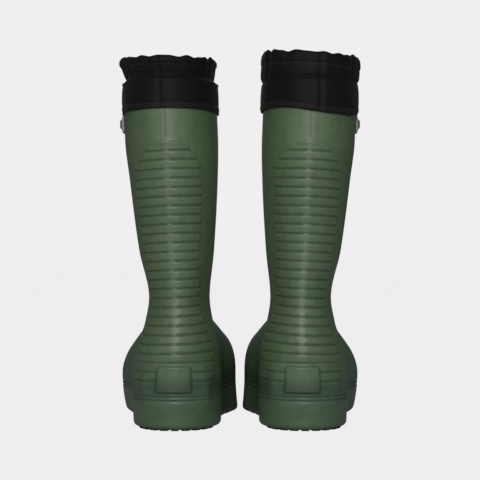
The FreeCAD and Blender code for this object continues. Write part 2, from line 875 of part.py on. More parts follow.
def make_heel_tread(name, side):
    """A D-shaped plate with a fan of lugs round its back and two bars across."""
    body = doc.addObject("PartDesign::Body", f"{name}_heel_tread")
    plate_sketch = sketch_on(body, "XY_Plane", f"{name}_heel_outline")
    half = size("heel_tread_radius")
    front = size("heel_tread_front")
    round_back = Part.Circle(Vector(0, 0, 0), Vector(0, 0, 1), half)
    plate_sketch.addGeometry(Part.ArcOfCircle(round_back, math.pi, 2 * math.pi), False)
    corners = [Vector(half, 0, 0), Vector(half, front, 0), Vector(-half, front, 0), Vector(-half, 0, 0)]
    for start, end in zip(corners, corners[1:]):
        plate_sketch.addGeometry(Part.LineSegment(start, end), False)
    for first, second in (((0, 2), (1, 1)), ((1, 2), (2, 1)), ((2, 2), (3, 1)), ((3, 2), (0, 1))):
        plate_sketch.addConstraint(Sketcher.Constraint("Coincident", *first, *second))
    plate_sketch.addConstraint(Sketcher.Constraint("Coincident", 0, 3, -1, 1))
    plate_sketch.addConstraint(Sketcher.Constraint("Vertical", 1))
    plate_sketch.addConstraint(Sketcher.Constraint("Vertical", 3))
    plate_sketch.addConstraint(Sketcher.Constraint("Horizontal", 2))
    plate_sketch.addConstraint(Sketcher.Constraint("PointOnObject", 0, 1, -1))
    radius = plate_sketch.addConstraint(Sketcher.Constraint("Radius", 0, half))
    plate_sketch.setExpression(f"Constraints[{radius}]", "Dimensions.heel_tread_radius")
    depth = plate_sketch.addConstraint(Sketcher.Constraint("DistanceY", 1, 1, 1, 2, front))
    plate_sketch.setExpression(f"Constraints[{depth}]", "Dimensions.heel_tread_front")
    plate = pad(body, plate_sketch, f"{name}_heel_plate", "Dimensions.tread_plate")

    lug_sketch = sketch_on(body, "XY_Plane", f"{name}_heel_lug_outline")
    lug_length = "Dimensions.heel_lug_length"
    lug_width = "Dimensions.heel_lug_width"
    lug_place = f"Dimensions.heel_tread_radius - {lug_length} / 2 - Dimensions.heel_lug_edge"
    draw_rectangle(lug_sketch, lug_length, lug_width, (f"-({lug_place})", "0"))
    lug = pad(body, lug_sketch, f"{name}_heel_lug", "Dimensions.lug_depth", Reversed=True)
    bar_sketch = sketch_on(body, "XY_Plane", f"{name}_heel_bar_outline")
    for number in range(int(size("heel_bar_count"))):
        place = f"Dimensions.heel_bar_first + {number} * Dimensions.heel_bar_pitch"
        draw_rectangle(bar_sketch, "Dimensions.heel_bar_length", lug_width, ("0", place))
    for number in range(int(size("side_lug_count"))):
        place = f"Dimensions.side_lug_first + {number} * Dimensions.side_lug_pitch"
        for sign in ("", "-"):
            draw_rectangle(bar_sketch, lug_length, lug_width, (f"{sign}({lug_place})", place))
    pad(body, bar_sketch, f"{name}_heel_bars", "Dimensions.lug_depth", Reversed=True)
    doc.recompute()
    fan = body.newObject("PartDesign::PolarPattern", f"{name}_heel_lug_fan")
    fan.Originals = [lug]
    fan.Axis = (lug_sketch, ["N_Axis"])
    fan.Angle = 180
    fan.setExpression("Occurrences", "Dimensions.heel_lug_count")
    body.Tip = fan
    doc.recompute()
    if fan.Shape.Volume < plate.Shape.Volume * 1.1:
        raise RuntimeError("the heel lugs added nothing")
    middle = side * size("heel_middle")
    body.Placement.Base = Vector(middle, heel_tread_centre(), size("lug_depth"))
    keep(body, f"{name}_heel_tread")


def make_forefoot_tread(name, side):
    """A plate under the ball and toes with two rows of slanted bars on it."""
    inset = size("tread_inset")
    back = size("fore_tread_back")
    plate = fore_region(side, inset, back, size("tread_plate"))
    region = fore_region(side, inset, back, GROUND_CLEARANCE)
    start = ahead(back)
    middle = side * size("ball_middle")
    plate_bottom = GROUND_CLEARANCE - size("tread_plate")
    bars = []
    gap = size("fore_spine_gap") / 2
    for number in range(int(size("fore_lug_count"))):
        y = start + size("fore_lug_first") + number * size("fore_lug_pitch")
        for hand in (-1, 1):
            bar = block((gap, 0, 0), (size("fore_half_cut"), size("fore_lug_width"), plate_bottom))
            bar.rotate(Vector(0, 0, 0), Vector(0, 0, 1), size("fore_lug_slant"))
            if hand < 0:
                bar = bar.mirror(Vector(0, 0, 0), Vector(1, 0, 0))
            bar.translate(Vector(middle - side * size("fore_spine_shift"), y, 0))
            bars.append(bar)
    lugs = [bar.common(region) for bar in bars]
    lugs = [lug for lug in lugs if lug.Volume > size("smallest_lug")]
    tread = plate.fuse(lugs).removeSplitter()
    shaped(f"{name}_forefoot_tread", tread)


# ---------------------------------------------------------------- the pair

for name, side in SIDES.items():
    make_shell(name, side)
    make_liner(name, side)
    make_cuff(name, side)
    make_collar(name, side)
    make_side_tab(name, side)
    make_heel_tread(name, side)
    make_forefoot_tread(name, side)
doc.recompute()

for thing in doc.Objects:
    if "Invalid" in thing.State or "Error" in thing.State:
        raise RuntimeError(f"{thing.Label} did not compute: {thing.State}")
for thing in PARTS:
    if thing.Shape.isNull() or not thing.Shape.isValid() or not thing.Shape.Solids:
        raise RuntimeError(f"{thing.Label} has no valid solid")

os.makedirs("parts", exist_ok=True)
for thing in PARTS:
    thing.Shape.exportStep(f"parts/{thing.Label}.step")
    box = thing.Shape.BoundBox
    print(
        f"{thing.Label:24s} solids {len(thing.Shape.Solids):2d}  {thing.Shape.Volume / 1000:8.2f} cm3"
        f"  x {box.XMin:7.1f} {box.XMax:7.1f}  y {box.YMin:7.1f} {box.YMax:7.1f}"
        f"  z {box.ZMin:6.1f} {box.ZMax:6.1f}"
    )
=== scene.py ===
import math

import bpy
import numpy as np
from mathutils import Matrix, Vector


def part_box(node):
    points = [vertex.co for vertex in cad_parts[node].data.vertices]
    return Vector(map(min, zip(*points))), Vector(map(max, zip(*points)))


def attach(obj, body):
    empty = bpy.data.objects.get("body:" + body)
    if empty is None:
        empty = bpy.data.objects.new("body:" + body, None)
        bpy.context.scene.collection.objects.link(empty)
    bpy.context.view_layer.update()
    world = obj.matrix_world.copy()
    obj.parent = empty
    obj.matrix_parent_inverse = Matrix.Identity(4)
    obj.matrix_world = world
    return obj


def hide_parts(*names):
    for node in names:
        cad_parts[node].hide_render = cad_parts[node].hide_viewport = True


# A pair of tall insulated pull-on boots, seen from behind, toes away from the camera.
#
# The shape of a boot is worked out in millimetres in "boot coordinates": x away from the plane
# between the boots, y forward from the back of the heel, z up. place_points() turns them into
# the frame's metres, and mirrors them for the left boot.

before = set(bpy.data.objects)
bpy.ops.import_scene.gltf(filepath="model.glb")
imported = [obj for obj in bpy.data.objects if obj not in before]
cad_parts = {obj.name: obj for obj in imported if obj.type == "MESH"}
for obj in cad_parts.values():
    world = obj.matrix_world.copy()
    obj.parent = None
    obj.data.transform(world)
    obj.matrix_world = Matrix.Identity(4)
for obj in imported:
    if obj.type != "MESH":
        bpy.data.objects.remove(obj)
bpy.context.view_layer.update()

MM = 0.001
SIDES = {"left": -1, "right": 1}

# ---- dimensions (mm)

# The upright part of a boot: height, middle line, half width, back and front
LEVELS = (
    (8, 68.5, 47.0, 2, 120),
    (30, 68.5, 48.5, 0, 125),
    (78, 68.0, 46.0, 0, 132),
    (112, 66.5, 37.0, 7, 140),
    (138, 66.5, 33.2, 13, 146),
    (190, 69.5, 41.0, 14, 146),
    (265, 72.5, 48.0, 9, 149),
    (312, 75.0, 51.0, 6, 152),
    (366, 76.4, 50.8, 4, 154),
)
# The foot: distance in front of the back of the heel, middle line, half width and top line
STATIONS = (
    (20, 68.5, 30.0, 62),
    (100, 69.5, 43.0, 112),
    (150, 71.8, 53.5, 126),
    (205, 72.2, 67.0, 108),
)
LENGTH = 310
# Height at which the foot is widest, and what it loses in half width and shifts below that
WIDEST = 45
TAPER = 1
FLOOR_SHIFT = 3
# How full the top of the foot is on its two sides
INNER_POWER = 2.6
OUTER_POWER = 1.85
# The toe: how far it turns in, how blunt it is, and the share of height that it loses
TOE_SHIFT = 8
TOE_POWER = 2.4
TOE_DROP = 0.4
# How far shaft and foot run into each other, and below and behind what that fades (place, reach)
BLEND = 18
HEEL_FADE_HEIGHT = (40, 20)
HEEL_FADE_PLACE = (55, 30)
# The upright line that bearings are taken from, and how the surface is looked for by halving
AXIS_PLACE = 75
SEARCH_REACH = 260.0
HALVINGS = 20

SOLE_TOP = 8
SOLE_BOTTOM = 1.5
SOLE_ROUNDING = 5
# The recess under the shell that holds the treads, and where the foam between them lies
RECESS_INSET = 4.4
RECESS_TOP = 8.3
WAIST = (86.5, 141.5)
SHELL_TOP = 366
SHELL_WALL = 4.8
SHELL_FLOOR = 30

KICK_DEPTH = 3
KICK_BOTTOM = 40
KICK_TOP = 68.5
KICK_HALF_BOTTOM = 20.5
KICK_HALF_TOP = 18.25
KICK_BEVEL = 2.0

RIB_FIRST = 71.5
RIB_PITCH = 9.7
RIB_COUNT = 24
RIB_LAST = RIB_FIRST + RIB_PITCH * (RIB_COUNT - 1)
GROOVE_DEPTH = 1.1
GROOVE_HALF = 1.15
RIB_BULGE = 0.7
# The lip under each groove: height, distance below the groove, width
RIB_LIP = 0.6
LIP_PLACE = 1.9
LIP_WIDTH = 1.0
PANEL_RISE = 0.55
# The arch over the ribs: top, how far it falls at a distance aside, height and width of its bead
ARCH_TOP = 303.5
ARCH_FALL = 9.0
ARCH_REACH = 27
ARCH_BEAD = 1.0
ARCH_WIDTH = 1.6
RIDGE_HEIGHT = 0.85
RIDGE_HALF = 6.4
# The crease beside the ridge above the arch: place, width and depth
CREASE_PLACE = 1.1
CREASE_WIDTH = 1.3
CREASE_DEPTH = 0.4
SIDE_GROOVES = (61.8, 52.1)
SOLE_LINES = (36, 32)
SOLE_LINE_DEPTH = 0.9
SOLE_LINE_HALF = 0.9
# How much painted shade each place of the foam gets, where 1 is the darkest
SHADE_STRENGTH = {"kick": 0.42, "flank": 0.6, "crease": 0.22, "sole_line": 0.8, "rounding": 0.5}
# How far the ridge and the panel lie towards the outer side, by height, and how much more or
# less each boot of the pair has, because both are turned a little the same way
RIDGE_LEAD = {"left": 1.2, "right": -3.2}
RIDGE_PLACE = ((71, 0), (125, 1.4), (185, 2.6), (255, 2.5), (302, 1.8), (340, 1.5))
# How much higher the grooves lie at the inner border than at the ridge, per mm round
GROOVE_SLOPE = 0.034
# Half width of the ribbed panel by height
PANEL = (
    (50, 42), (75, 41), (90, 39), (104, 34), (115, 29.5), (133, 26),
    (177, 29), (217, 32.5), (254, 35), (279, 34.5), (294, 27),
)

CUFF_BOTTOM = 339
CUFF_TOP = 370
# What the collar's gathers take up, as a share of its girth
GATHER = 0.16
# Insets of the liner's two faces and of the footbed, and the heights of their undersides
PILE_INSETS = (9.0, 10.4)
PILE_FLOOR = (34.2, 35.8)
FOOTBED_INSET = 11.6
FOOTBED_HEIGHTS = (36.1, 39.6)
# The tab is this much thicker than in CAD, on its outer face
TAB_SWELL = 0.7
STUD_HEIGHT = 328

HEEL_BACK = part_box("right_shell")[0].y / MM + KICK_DEPTH

# ---- shape of a boot


def along(points, place):
    """Smooth values at places, through (place, value) points; level beyond both ends."""
    xs, ys = np.array(points, float).T
    rise = np.diff(ys) / np.diff(xs)
    slopes = np.zeros(len(xs))
    for k in range(1, len(xs) - 1):
        if rise[k - 1] * rise[k] > 0:
            slopes[k] = 2 * rise[k - 1] * rise[k] / (rise[k - 1] + rise[k])
    at = np.clip(place, xs[0], xs[-1])
    i = np.clip(np.searchsorted(xs, at, side="right") - 1, 0, len(xs) - 2)
    span = np.diff(xs)[i]
    u = (at - xs[i]) / span
    return (
        ys[i] * (1 + 2 * u) * (1 - u) ** 2
        + slopes[i] * span * u * (1 - u) ** 2
        + ys[i + 1] * u * u * (3 - 2 * u)
        + slopes[i + 1] * span * u * u * (u - 1)
    )


def column(table, field, place):
    """One of a table's columns, at places along its first one."""
    return along([(row[0], row[field]) for row in table], place)


def ease(x, reach=1.0):
    """0 below 0, 1 above a reach, and a smooth rise between."""
    share = np.clip(x / reach, 0, 1)
    return share * share * (3 - 2 * share)


def bell(x, width):
    """1 at 0, falling smoothly to nothing on both sides."""
    return np.exp(-((x / width) ** 2))


def dent(x, half):
    """1 at 0, falling to 0 at a distance of half on both sides."""
    return np.clip(1 - (x / half) ** 2, 0, 1)


def middle_line(z):
    return column(LEVELS, 1, z)


def oval_distance(x, y, half_x, half_y, power=2.0):
    """Rough signed distance from points to an oval, fuller as its power is higher."""
    u = np.abs(x / half_x)
    v = np.abs(y / half_y)
    grown = (u**power + v**power) ** (1 / power)
    steep = np.hypot(u ** (power - 1) / half_x, v ** (power - 1) / half_y)
    far = (grown - 1) * grown ** (power - 1) / np.maximum(steep, 1e-9)
    return np.where(grown < 0.05, -np.minimum(half_x, half_y), far)


def upright_distance(x, y, z, inset):
    """Rough signed distance to the shaft and heel, drawn in by an inset."""
    half_width = column(LEVELS, 2, z) - inset
    back = column(LEVELS, 3, z) + inset
    front = column(LEVELS, 4, z) - inset
    return oval_distance(x - middle_line(z), y - (front + back) / 2, half_width, (front - back) / 2)


def foot_distance(x, y, z, inset):
    """Rough signed distance to the foot, drawn in by an inset."""
    seat = STATIONS[0][0]
    ball = STATIONS[-1][0]
    toe = LENGTH - inset
    at = np.clip(y, seat, toe - 1e-6)
    half_width = column(STATIONS, 2, at) - inset
    top = column(STATIONS, 3, at) - inset
    gone = np.clip((at - ball) / (toe - ball), 0, 1)
    half_width = half_width * np.sqrt(1 - gone**TOE_POWER)
    top = WIDEST + (top - WIDEST) * (1 - TOE_DROP * gone) * np.sqrt(1 - gone**3)
    middle = column(STATIONS, 1, at) - TOE_SHIFT * gone * gone
    fall = np.clip((WIDEST - z) / (WIDEST - SOLE_TOP), 0, None)
    across = x - middle
    low_half = np.maximum(half_width - TAPER * fall * fall, 0.05)
    low = np.abs(across + FLOOR_SHIFT * fall * fall) - low_half
    power = np.where(across < 0, INNER_POWER, OUTER_POWER)
    half_width = np.maximum(half_width, 0.5)
    high = oval_distance(across, z - WIDEST, half_width, np.maximum(top - WIDEST, 0.5), power)
    inner = np.where(z < WIDEST, low, high)
    behind = np.hypot(seat - y, np.maximum(inner, 0))
    return np.where(y < seat, behind, np.where(y >= toe, y - toe + 1, inner))


def boot_distance(x, y, z, inset):
    """Rough signed distance to a boot: shaft and foot run into each other, but not at the heel."""
    upright = upright_distance(x, y, z, inset)
    foot = foot_distance(x, y, z, inset)
    near = np.clip(BLEND - np.abs(upright - foot), 0, None) / BLEND
    height, height_reach = HEEL_FADE_HEIGHT
    place, place_reach = HEEL_FADE_PLACE
    heel = ease(height - z, height_reach) * ease(place - y, place_reach)
    return np.minimum(upright, foot) - near * near * BLEND / 4 * (1 - heel)


def surface(bearing, z, inset=0.0):
    """(x, y) of the boot's surface at heights, seen from its middle line along bearings."""
    bearing, z, inset = np.broadcast_arrays(bearing, z, inset)
    centre = middle_line(z)
    across, ahead = np.cos(bearing), np.sin(bearing)
    low = np.zeros(bearing.shape)
    high = np.full(bearing.shape, SEARCH_REACH)
    for _ in range(HALVINGS):
        half = (low + high) / 2
        inside = boot_distance(centre + half * across, AXIS_PLACE + half * ahead, z, inset) < 0
        low = np.where(inside, half, low)
        high = np.where(inside, high, half)
    return centre + low * across, AXIS_PLACE + low * ahead


def lengths(vectors):
    return np.linalg.norm(vectors, axis=-1)


def running(steps):
    """Distances along a line with steps of these lengths, from 0."""
    return np.concatenate([[0], np.cumsum(steps)])


def normals(grid):
    """Unit normals of a grid of rings that climbs the outside of a boot, pointing out."""
    around = np.roll(grid, -1, axis=1) - np.roll(grid, 1, axis=1)
    out = np.cross(around, np.gradient(grid, axis=0))
    return out / np.maximum(lengths(out)[..., None], 1e-9)


# ---- making meshes


def place_points(points, side):
    """Boot coordinates in mm to the frame's metres."""
    points = np.asarray(points, float).reshape(-1, 3)
    return (points * (side, 1, 1) + (0, HEEL_BACK, 0)) * MM


def add_object(name, data):
    made = bpy.data.objects.new(name, data)
    bpy.context.scene.collection.objects.link(made)
    return made


def new_piece(name, label, points, faces, uvs=None):
    """A piece in mm, with faces as on the right boot; uvs are the cloth's own place in metres."""
    side = SIDES[name]
    if side < 0:
        faces = [face[::-1] for face in faces]
    mesh = bpy.data.meshes.new(f"{name}_{label}")
    mesh.from_pydata(place_points(points, side).tolist(), [], faces)
    if uvs is not None:
        layer = mesh.uv_layers.new(name="cloth")
        layer.data.foreach_set("uv", np.asarray(uvs, np.float32).ravel())
    mesh.shade_smooth()
    return add_object(f"{name}_{label}", mesh)


def ring_piece(name, label, rings, caps=None, loop=False):
    """A closed skin through rings of points, either a loop of rings or capped at both ends."""
    rows, columns, _ = rings.shape
    steps_up = rows if loop else rows - 1
    r, c = np.meshgrid(np.arange(steps_up), np.arange(columns), indexing="ij")
    up = (r + 1) % rows
    on = (c + 1) % columns
    quads = np.stack([r * columns + c, r * columns + on, up * columns + on, up * columns + c], -1)
    # The cloth's own coordinates: the mean distance round and up
    u = running(lengths(rings - np.roll(rings, -1, axis=1)).mean(axis=0))
    v = running(lengths(rings - np.roll(rings, -1, axis=0)).mean(axis=1))
    corners = ((0, 0), (1, 0), (1, 1), (0, 1))
    uvs = np.stack([np.stack([u[c + i], v[r + j]], -1) for i, j in corners], axis=2)
    if SIDES[name] < 0:
        uvs = uvs[:, :, ::-1]
    faces = quads.reshape(-1, 4).tolist()
    uvs = uvs.reshape(-1, 2)
    points = rings.reshape(-1, 3)
    if caps is not None:
        points = np.vstack([points, caps])
        first, last = rows * columns, rows * columns + 1
        top = (rows - 1) * columns
        for k in range(columns):
            after = (k + 1) % columns
            faces += [[first, after, k], [last, top + k, top + after]]
        uvs = np.vstack([uvs, np.zeros((6 * columns, 2))])
    return new_piece(name, label, points, faces, uvs * MM)


def hand_over(piece, name, body, material, cad_node=None):
    """Says a piece's body, slot, material and the CAD node that it replaces."""
    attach(piece, f"{name}_{body}")
    if cad_node:
        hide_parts(f"{name}_{cad_node}")
    piece.data.materials.append(material)


# A stitch: how thick it is along its length
STITCH_PROFILE = ((0.0, 0.0), (0.12, 0.8), (0.5, 1.0), (0.88, 0.8), (1.0, 0.0))
STITCH_SIDES = 6


def on_line(at, run, points):
    """The point at a distance along a line of points."""
    return np.array([np.interp(at, run, points[:, i]) for i in range(3)])


def stitches(name, label, line, out, length=2.6, gap=1.3, radius=0.28):
    """Short rounded threads laid end to end along a closed line, raised along out."""
    closed_line = np.vstack([line, line[:1]])
    closed_out = np.vstack([out, out[:1]])
    run = running(lengths(np.diff(closed_line, axis=0)))
    count = int(run[-1] / (length + gap))
    vertices = []
    faces = []
    sides = STITCH_SIDES
    for k in range(count):
        start = run[-1] * k / count
        base = len(vertices)
        for share, swell in STITCH_PROFILE:
            at = start + share * length
            centre = on_line(at, run, closed_line)
            forward = on_line(at + 0.5, run, closed_line) - centre
            lift = on_line(at, run, closed_out)
            forward /= max(np.linalg.norm(forward), 1e-9)
            lift /= np.linalg.norm(lift)
            level = np.cross(lift, forward)
            centre = centre + lift * radius * (1.1 * swell - 0.6)
            for turn in range(sides):
                angle = 2 * math.pi * turn / sides
                thick = radius * max(swell, 0.15)
                vertices.append(centre + thick * (math.cos(angle) * lift + math.sin(angle) * level))
        rings = len(STITCH_PROFILE)
        for ring in range(rings - 1):
            for turn in range(sides):
                a = base + ring * sides + turn
                b = base + ring * sides + (turn + 1) % sides
                faces.append([a, b, b + sides, a + sides])
        near = [base + turn for turn in range(sides)]
        far = [base + (rings - 1) * sides + turn for turn in range(sides)]
        faces += [near[::-1], far]
    return new_piece(name, label, vertices, faces)


# ---- materials


def node(tree, kind, inputs=None, **settings):
    """A shader node; inputs, by name or number, are linked to a socket or set to a value."""
    made = tree.nodes.new("ShaderNode" + kind)
    for key, value in settings.items():
        setattr(made, key, value)
    for key, value in (inputs or {}).items():
        if isinstance(value, bpy.types.NodeSocket):
            tree.links.new(value, made.inputs[key])
        else:
            made.inputs[key].default_value = value
    return made


def start_material(name, **sockets):
    """A new material, its node tree and its shader, with inputs of the shader set by name."""
    material = bpy.data.materials.new(name)
    material.use_nodes = True
    shader = material.node_tree.nodes["Principled BSDF"]
    for key, value in sockets.items():
        shader.inputs[key.replace("_", " ").title().replace("Ior", "IOR")].default_value = value
    return material, material.node_tree, shader


def ramp(tree, value, low, high, from_low=0.3, from_high=0.7):
    """A colour that runs from low to high as a value does."""
    made = node(tree, "ValToRGB", {"Fac": value})
    stops = made.color_ramp.elements
    stops[0].position, stops[0].color = from_low, (*low, 1)
    stops[1].position, stops[1].color = from_high, (*high, 1)
    return made.outputs["Color"]


def spread(tree, value, low, high, from_low=0.3, from_high=0.7):
    """A number that runs from low to high as a value does."""
    ends = {"From Min": from_low, "From Max": from_high, "To Min": low, "To Max": high}
    return node(tree, "MapRange", {"Value": value, **ends}).outputs["Result"]


def noise(tree, where, scale, detail, rough=0.55):
    inputs = {"Vector": where, "Scale": scale, "Detail": detail, "Roughness": rough}
    return node(tree, "TexNoise", inputs).outputs["Fac"]


def opaque(colour):
    return colour if isinstance(colour, bpy.types.NodeSocket) else (*colour, 1)


def mixed(tree, share, a, b, how="MIX"):
    """Two colours mixed; inputs 6 and 7 and output 2 of the node are its colours."""
    inputs = {0: share, 6: opaque(a), 7: opaque(b)}
    return node(tree, "Mix", inputs, data_type="RGBA", blend_type=how).outputs[2]


def bump(tree, shader, height, distance, strength, under=None):
    """Puts a bump on a shader, over another one where that is given, and gives its normal."""
    inputs = {"Height": height, "Distance": distance, "Strength": strength}
    if under is not None:
        inputs["Normal"] = under
    made = node(tree, "Bump", inputs)
    tree.links.new(made.outputs["Normal"], shader.inputs["Normal"])
    return made.outputs["Normal"]


def calc(tree, how, a, b=0.0):
    return node(tree, "Math", {0: a, 1: b}, operation=how).outputs[0]


def paint(tree, shader, colour, roughness):
    tree.links.new(colour, shader.inputs["Base Color"])
    tree.links.new(roughness, shader.inputs["Roughness"])


def own_place(tree):
    return node(tree, "TexCoord").outputs["Object"]


def foam_material():
    """Moulded foam, satin, with fine pores, and painted shade that darkens its grooves and makes it
    darker and bluer low down.
    """
    material, tree, shader = start_material("shell_foam_green", specular_ior_level=0.42)
    where = own_place(tree)
    cloud = noise(tree, where, 14, 5)
    fine = noise(tree, where, 160, 3)
    colour = ramp(tree, cloud, (0.056, 0.090, 0.043), (0.068, 0.105, 0.053))
    speck = ramp(tree, fine, (0.85, 0.87, 0.85), (1.0, 1.0, 1.0), 0.35, 0.6)
    colour = mixed(tree, 1.0, colour, speck, "MULTIPLY")
    height = node(tree, "SeparateXYZ", {"Vector": where}).outputs["Z"]
    height = calc(tree, "ADD", height, spread(tree, cloud, -0.004, 0.004))
    # Painted shade by height, in tenths of a metre: darker and bluer below about 75 mm, darkest
    # about 44 mm up
    low = node(tree, "ValToRGB", {"Fac": calc(tree, "MULTIPLY", height, 10.0)})
    stops = low.color_ramp.elements
    stops[0].position, stops[0].color = 0.05, (0.80, 0.86, 0.95, 1)
    stops[1].position, stops[1].color = 0.75, (1, 1, 1, 1)
    stops.new(0.28).color = (0.80, 0.86, 0.93, 1)
    stops.new(0.44).color = (0.46, 0.56, 0.62, 1)
    stops.new(0.58).color = (0.88, 0.92, 0.94, 1)
    colour = mixed(tree, 1.0, colour, low.outputs["Color"], "MULTIPLY")
    hollow = node(tree, "Attribute", attribute_name="hollow").outputs["Fac"]
    # Painted shade: the foam turns dark green where the shade mask is high
    colour = mixed(tree, spread(tree, hollow, 0, 0.6, 0, 1), colour, (0.012, 0.022, 0.012))
    gloss = calc(tree, "ADD", spread(tree, cloud, 0.41, 0.49), spread(tree, fine, 0, 0.08))
    gloss = calc(tree, "ADD", gloss, spread(tree, hollow, 0, 0.3, 0, 1))
    paint(tree, shader, colour, gloss)
    pores = noise(tree, where, 900, 2)
    soft = noise(tree, where, 45, 3)
    first = bump(tree, shader, soft, 0.0006, 0.5)
    bump(tree, shader, pores, 0.00006, 0.5, first)
    return material


def rows_of(tree, place, pitch):
    """A wave with a pitch in metres."""
    return calc(tree, "SINE", calc(tree, "MULTIPLY", place, math.pi / pitch))


def weave_height(tree, pitch):
    """Height of a plain weave, and the cloth's own coordinates that it is laid on."""
    where = node(tree, "UVMap", uv_map="cloth").outputs["UV"]
    parts = node(tree, "SeparateXYZ", {"Vector": where}).outputs
    warp, weft = rows_of(tree, parts["X"], pitch), rows_of(tree, parts["Y"], pitch)
    return calc(tree, "MULTIPLY", warp, weft), where


def nylon_material(name, dark, light, pitch=0.0009, roughness=(0.55, 0.72)):
    """Close woven nylon with a slight slub, worn a little lighter."""
    material, tree, shader = start_material(
        name, sheen_weight=0.02, sheen_roughness=0.4, specular_ior_level=0.10
    )
    weave, where = weave_height(tree, pitch)
    place = own_place(tree)
    cloud = noise(tree, place, 30, 5)
    drawn_out = node(tree, "Mapping", {"Vector": where, "Scale": (250, 2500, 1)}).outputs[0]
    slub = noise(tree, drawn_out, 1.0, 2)
    colour = ramp(tree, cloud, dark, light)
    thread = ramp(tree, weave, (0.75, 0.75, 0.75), (1.15, 1.15, 1.15), 0.1, 0.9)
    colour = mixed(tree, 1.0, colour, thread, "MULTIPLY")
    paint(tree, shader, colour, spread(tree, slub, *roughness))
    first = bump(tree, shader, cloud, 0.0012, 0.35)
    bump(tree, shader, calc(tree, "ADD", weave, slub), 0.0001, 0.5, first)
    return material


def webbing_material():
    """Grey webbing: fine ribs across the strap."""
    material, tree, shader = start_material("grey_webbing", sheen_weight=0.3)
    where = own_place(tree)
    parts = node(tree, "SeparateXYZ", {"Vector": where}).outputs
    ribs = rows_of(tree, parts["Z"], 0.0006)
    picks = rows_of(tree, parts["Y"], 0.0009)
    fuzz = noise(tree, where, 700, 3)
    colour = ramp(tree, fuzz, (0.17, 0.17, 0.165), (0.30, 0.30, 0.285))
    colour = mixed(tree, spread(tree, ribs, 0, 0.5, -1, 1), colour, (0.10, 0.10, 0.095))
    paint(tree, shader, colour, spread(tree, fuzz, 0.65, 0.85))
    bump(tree, shader, calc(tree, "MULTIPLY", ribs, picks), 0.0002, 0.7)
    return material


def grey(value):
    return (value, value, value)


def grain_material(name, dark, light, scale, depth, roughness, **sockets):
    """A grained surface: rubber, felt, pile, metal or thread."""
    material, tree, shader = start_material(name, **sockets)
    where = own_place(tree)
    coarse = noise(tree, where, scale * 0.12, 4)
    grain = noise(tree, where, scale, 4, 0.65)
    colour = ramp(tree, calc(tree, "ADD", grain, coarse), dark, light, 0.8, 1.2)
    paint(tree, shader, colour, spread(tree, grain, *roughness))
    bump(tree, shader, grain, depth, 0.6)
    return material


FOAM = foam_material()
NYLON = nylon_material("cuff_nylon_black", (0.0042, 0.0036, 0.0035), (0.0074, 0.0063, 0.0061))
TAPE = nylon_material("hem_tape_black", (0.006, 0.0056, 0.005), (0.010, 0.0092, 0.008), 0.0007)
SKIN = nylon_material("liner_nylon_grey", grey(0.05), grey(0.07))
WEBBING = webbing_material()
THREAD = grain_material(
    "black_thread", (0.010, 0.009, 0.008), (0.022, 0.020, 0.018), 900, 0.0001, (0.45, 0.6)
)
GREY_THREAD = grain_material(
    "grey_thread", (0.25, 0.25, 0.24), (0.4, 0.4, 0.38), 900, 0.0001, (0.5, 0.65)
)
ELASTIC = grain_material("knitted_elastic", grey(0.02), grey(0.05), 700, 0.0002, (0.6, 0.8))
PILE = grain_material(
    "liner_pile_grey", (0.10, 0.10, 0.095), (0.22, 0.215, 0.205), 350, 0.0012, (0.8, 0.95),
    sheen_weight=0.5, specular_ior_level=0.2,
)
FELT = grain_material(
    "liner_felt_grey", (0.12, 0.12, 0.115), (0.2, 0.2, 0.19), 500, 0.0005, (0.85, 0.97),
    sheen_weight=0.3, specular_ior_level=0.2,
)
RUBBER = grain_material(
    "tread_rubber", (0.006, 0.007, 0.006), (0.016, 0.017, 0.015), 300, 0.0003, (0.5, 0.75),
    specular_ior_level=0.4,
)
METAL = grain_material(
    "snap_nickel", (0.35, 0.34, 0.32), (0.55, 0.54, 0.51), 600, 0.00005, (0.22, 0.38),
    metallic=1.0,
)
BLACK = grain_material(
    "snap_black", grey(0.006), grey(0.012), 500, 0.00005, (0.5, 0.6), specular_ior_level=0.15
)

# ---- shell


def beside(lines, steps):
    return [line + step for line in lines for step in steps]


def shell_rows():
    """Heights of the shell's rows: close together where the surface has detail."""
    rows = [SOLE_BOTTOM + SOLE_ROUNDING * share for share in (0, 0.05, 0.15, 0.35, 0.6, 1.0)]
    rows += [8.5, 12, 17, 21, 25, 28.5]
    rows += beside(SOLE_LINES, (-1.2, -0.7, 0, 0.7, 1.2))
    rows += [38.4, 39.2, 39.8, 40.6, 41.6, 42.8, 44, 46, 48.5]
    rows += beside(SIDE_GROOVES, (-1.8, -1.1, -0.5, 0.5, 1.1, 2.2, 4.2))
    rows += [65.2, 66.2, 67.2, 67.9, 68.5, 69.1]
    ribs = [RIB_FIRST + RIB_PITCH * k for k in range(RIB_COUNT)]
    rows += beside(ribs, (-1.7, -1.1, -0.5, 0.5, 1.1, 2.0, 4.0, 6.2))
    rows += list(np.arange(RIB_LAST + 7.4, ARCH_TOP + 3.5, 0.9))
    rows += list(np.linspace(ARCH_TOP + 5, SHELL_TOP - 1.5, 14)) + [SHELL_TOP]
    return np.array(sorted(rows))


# Where the shell's columns lie: distances from the middle of the ridge and from the border of the
# panel, and how many there are between those and on to the front
RIDGE_STEPS = (0, 1.1, 2.2, 3.3, 4.4, 5.5, 6.6)
EDGE_STEPS = (-1.2, -0.4, 0.4, 1.2)
PANEL_COLUMNS = 26
REST_COLUMNS = 70
# Bearings at which a ring is measured first, from back to back by way of the outer side, and how
# many of them on either side of the back hold the panel
FINE_BEARINGS = np.linspace(-math.pi / 2, 1.5 * math.pi, 721)
FRONT_BEARING = 360
QUARTER = 170


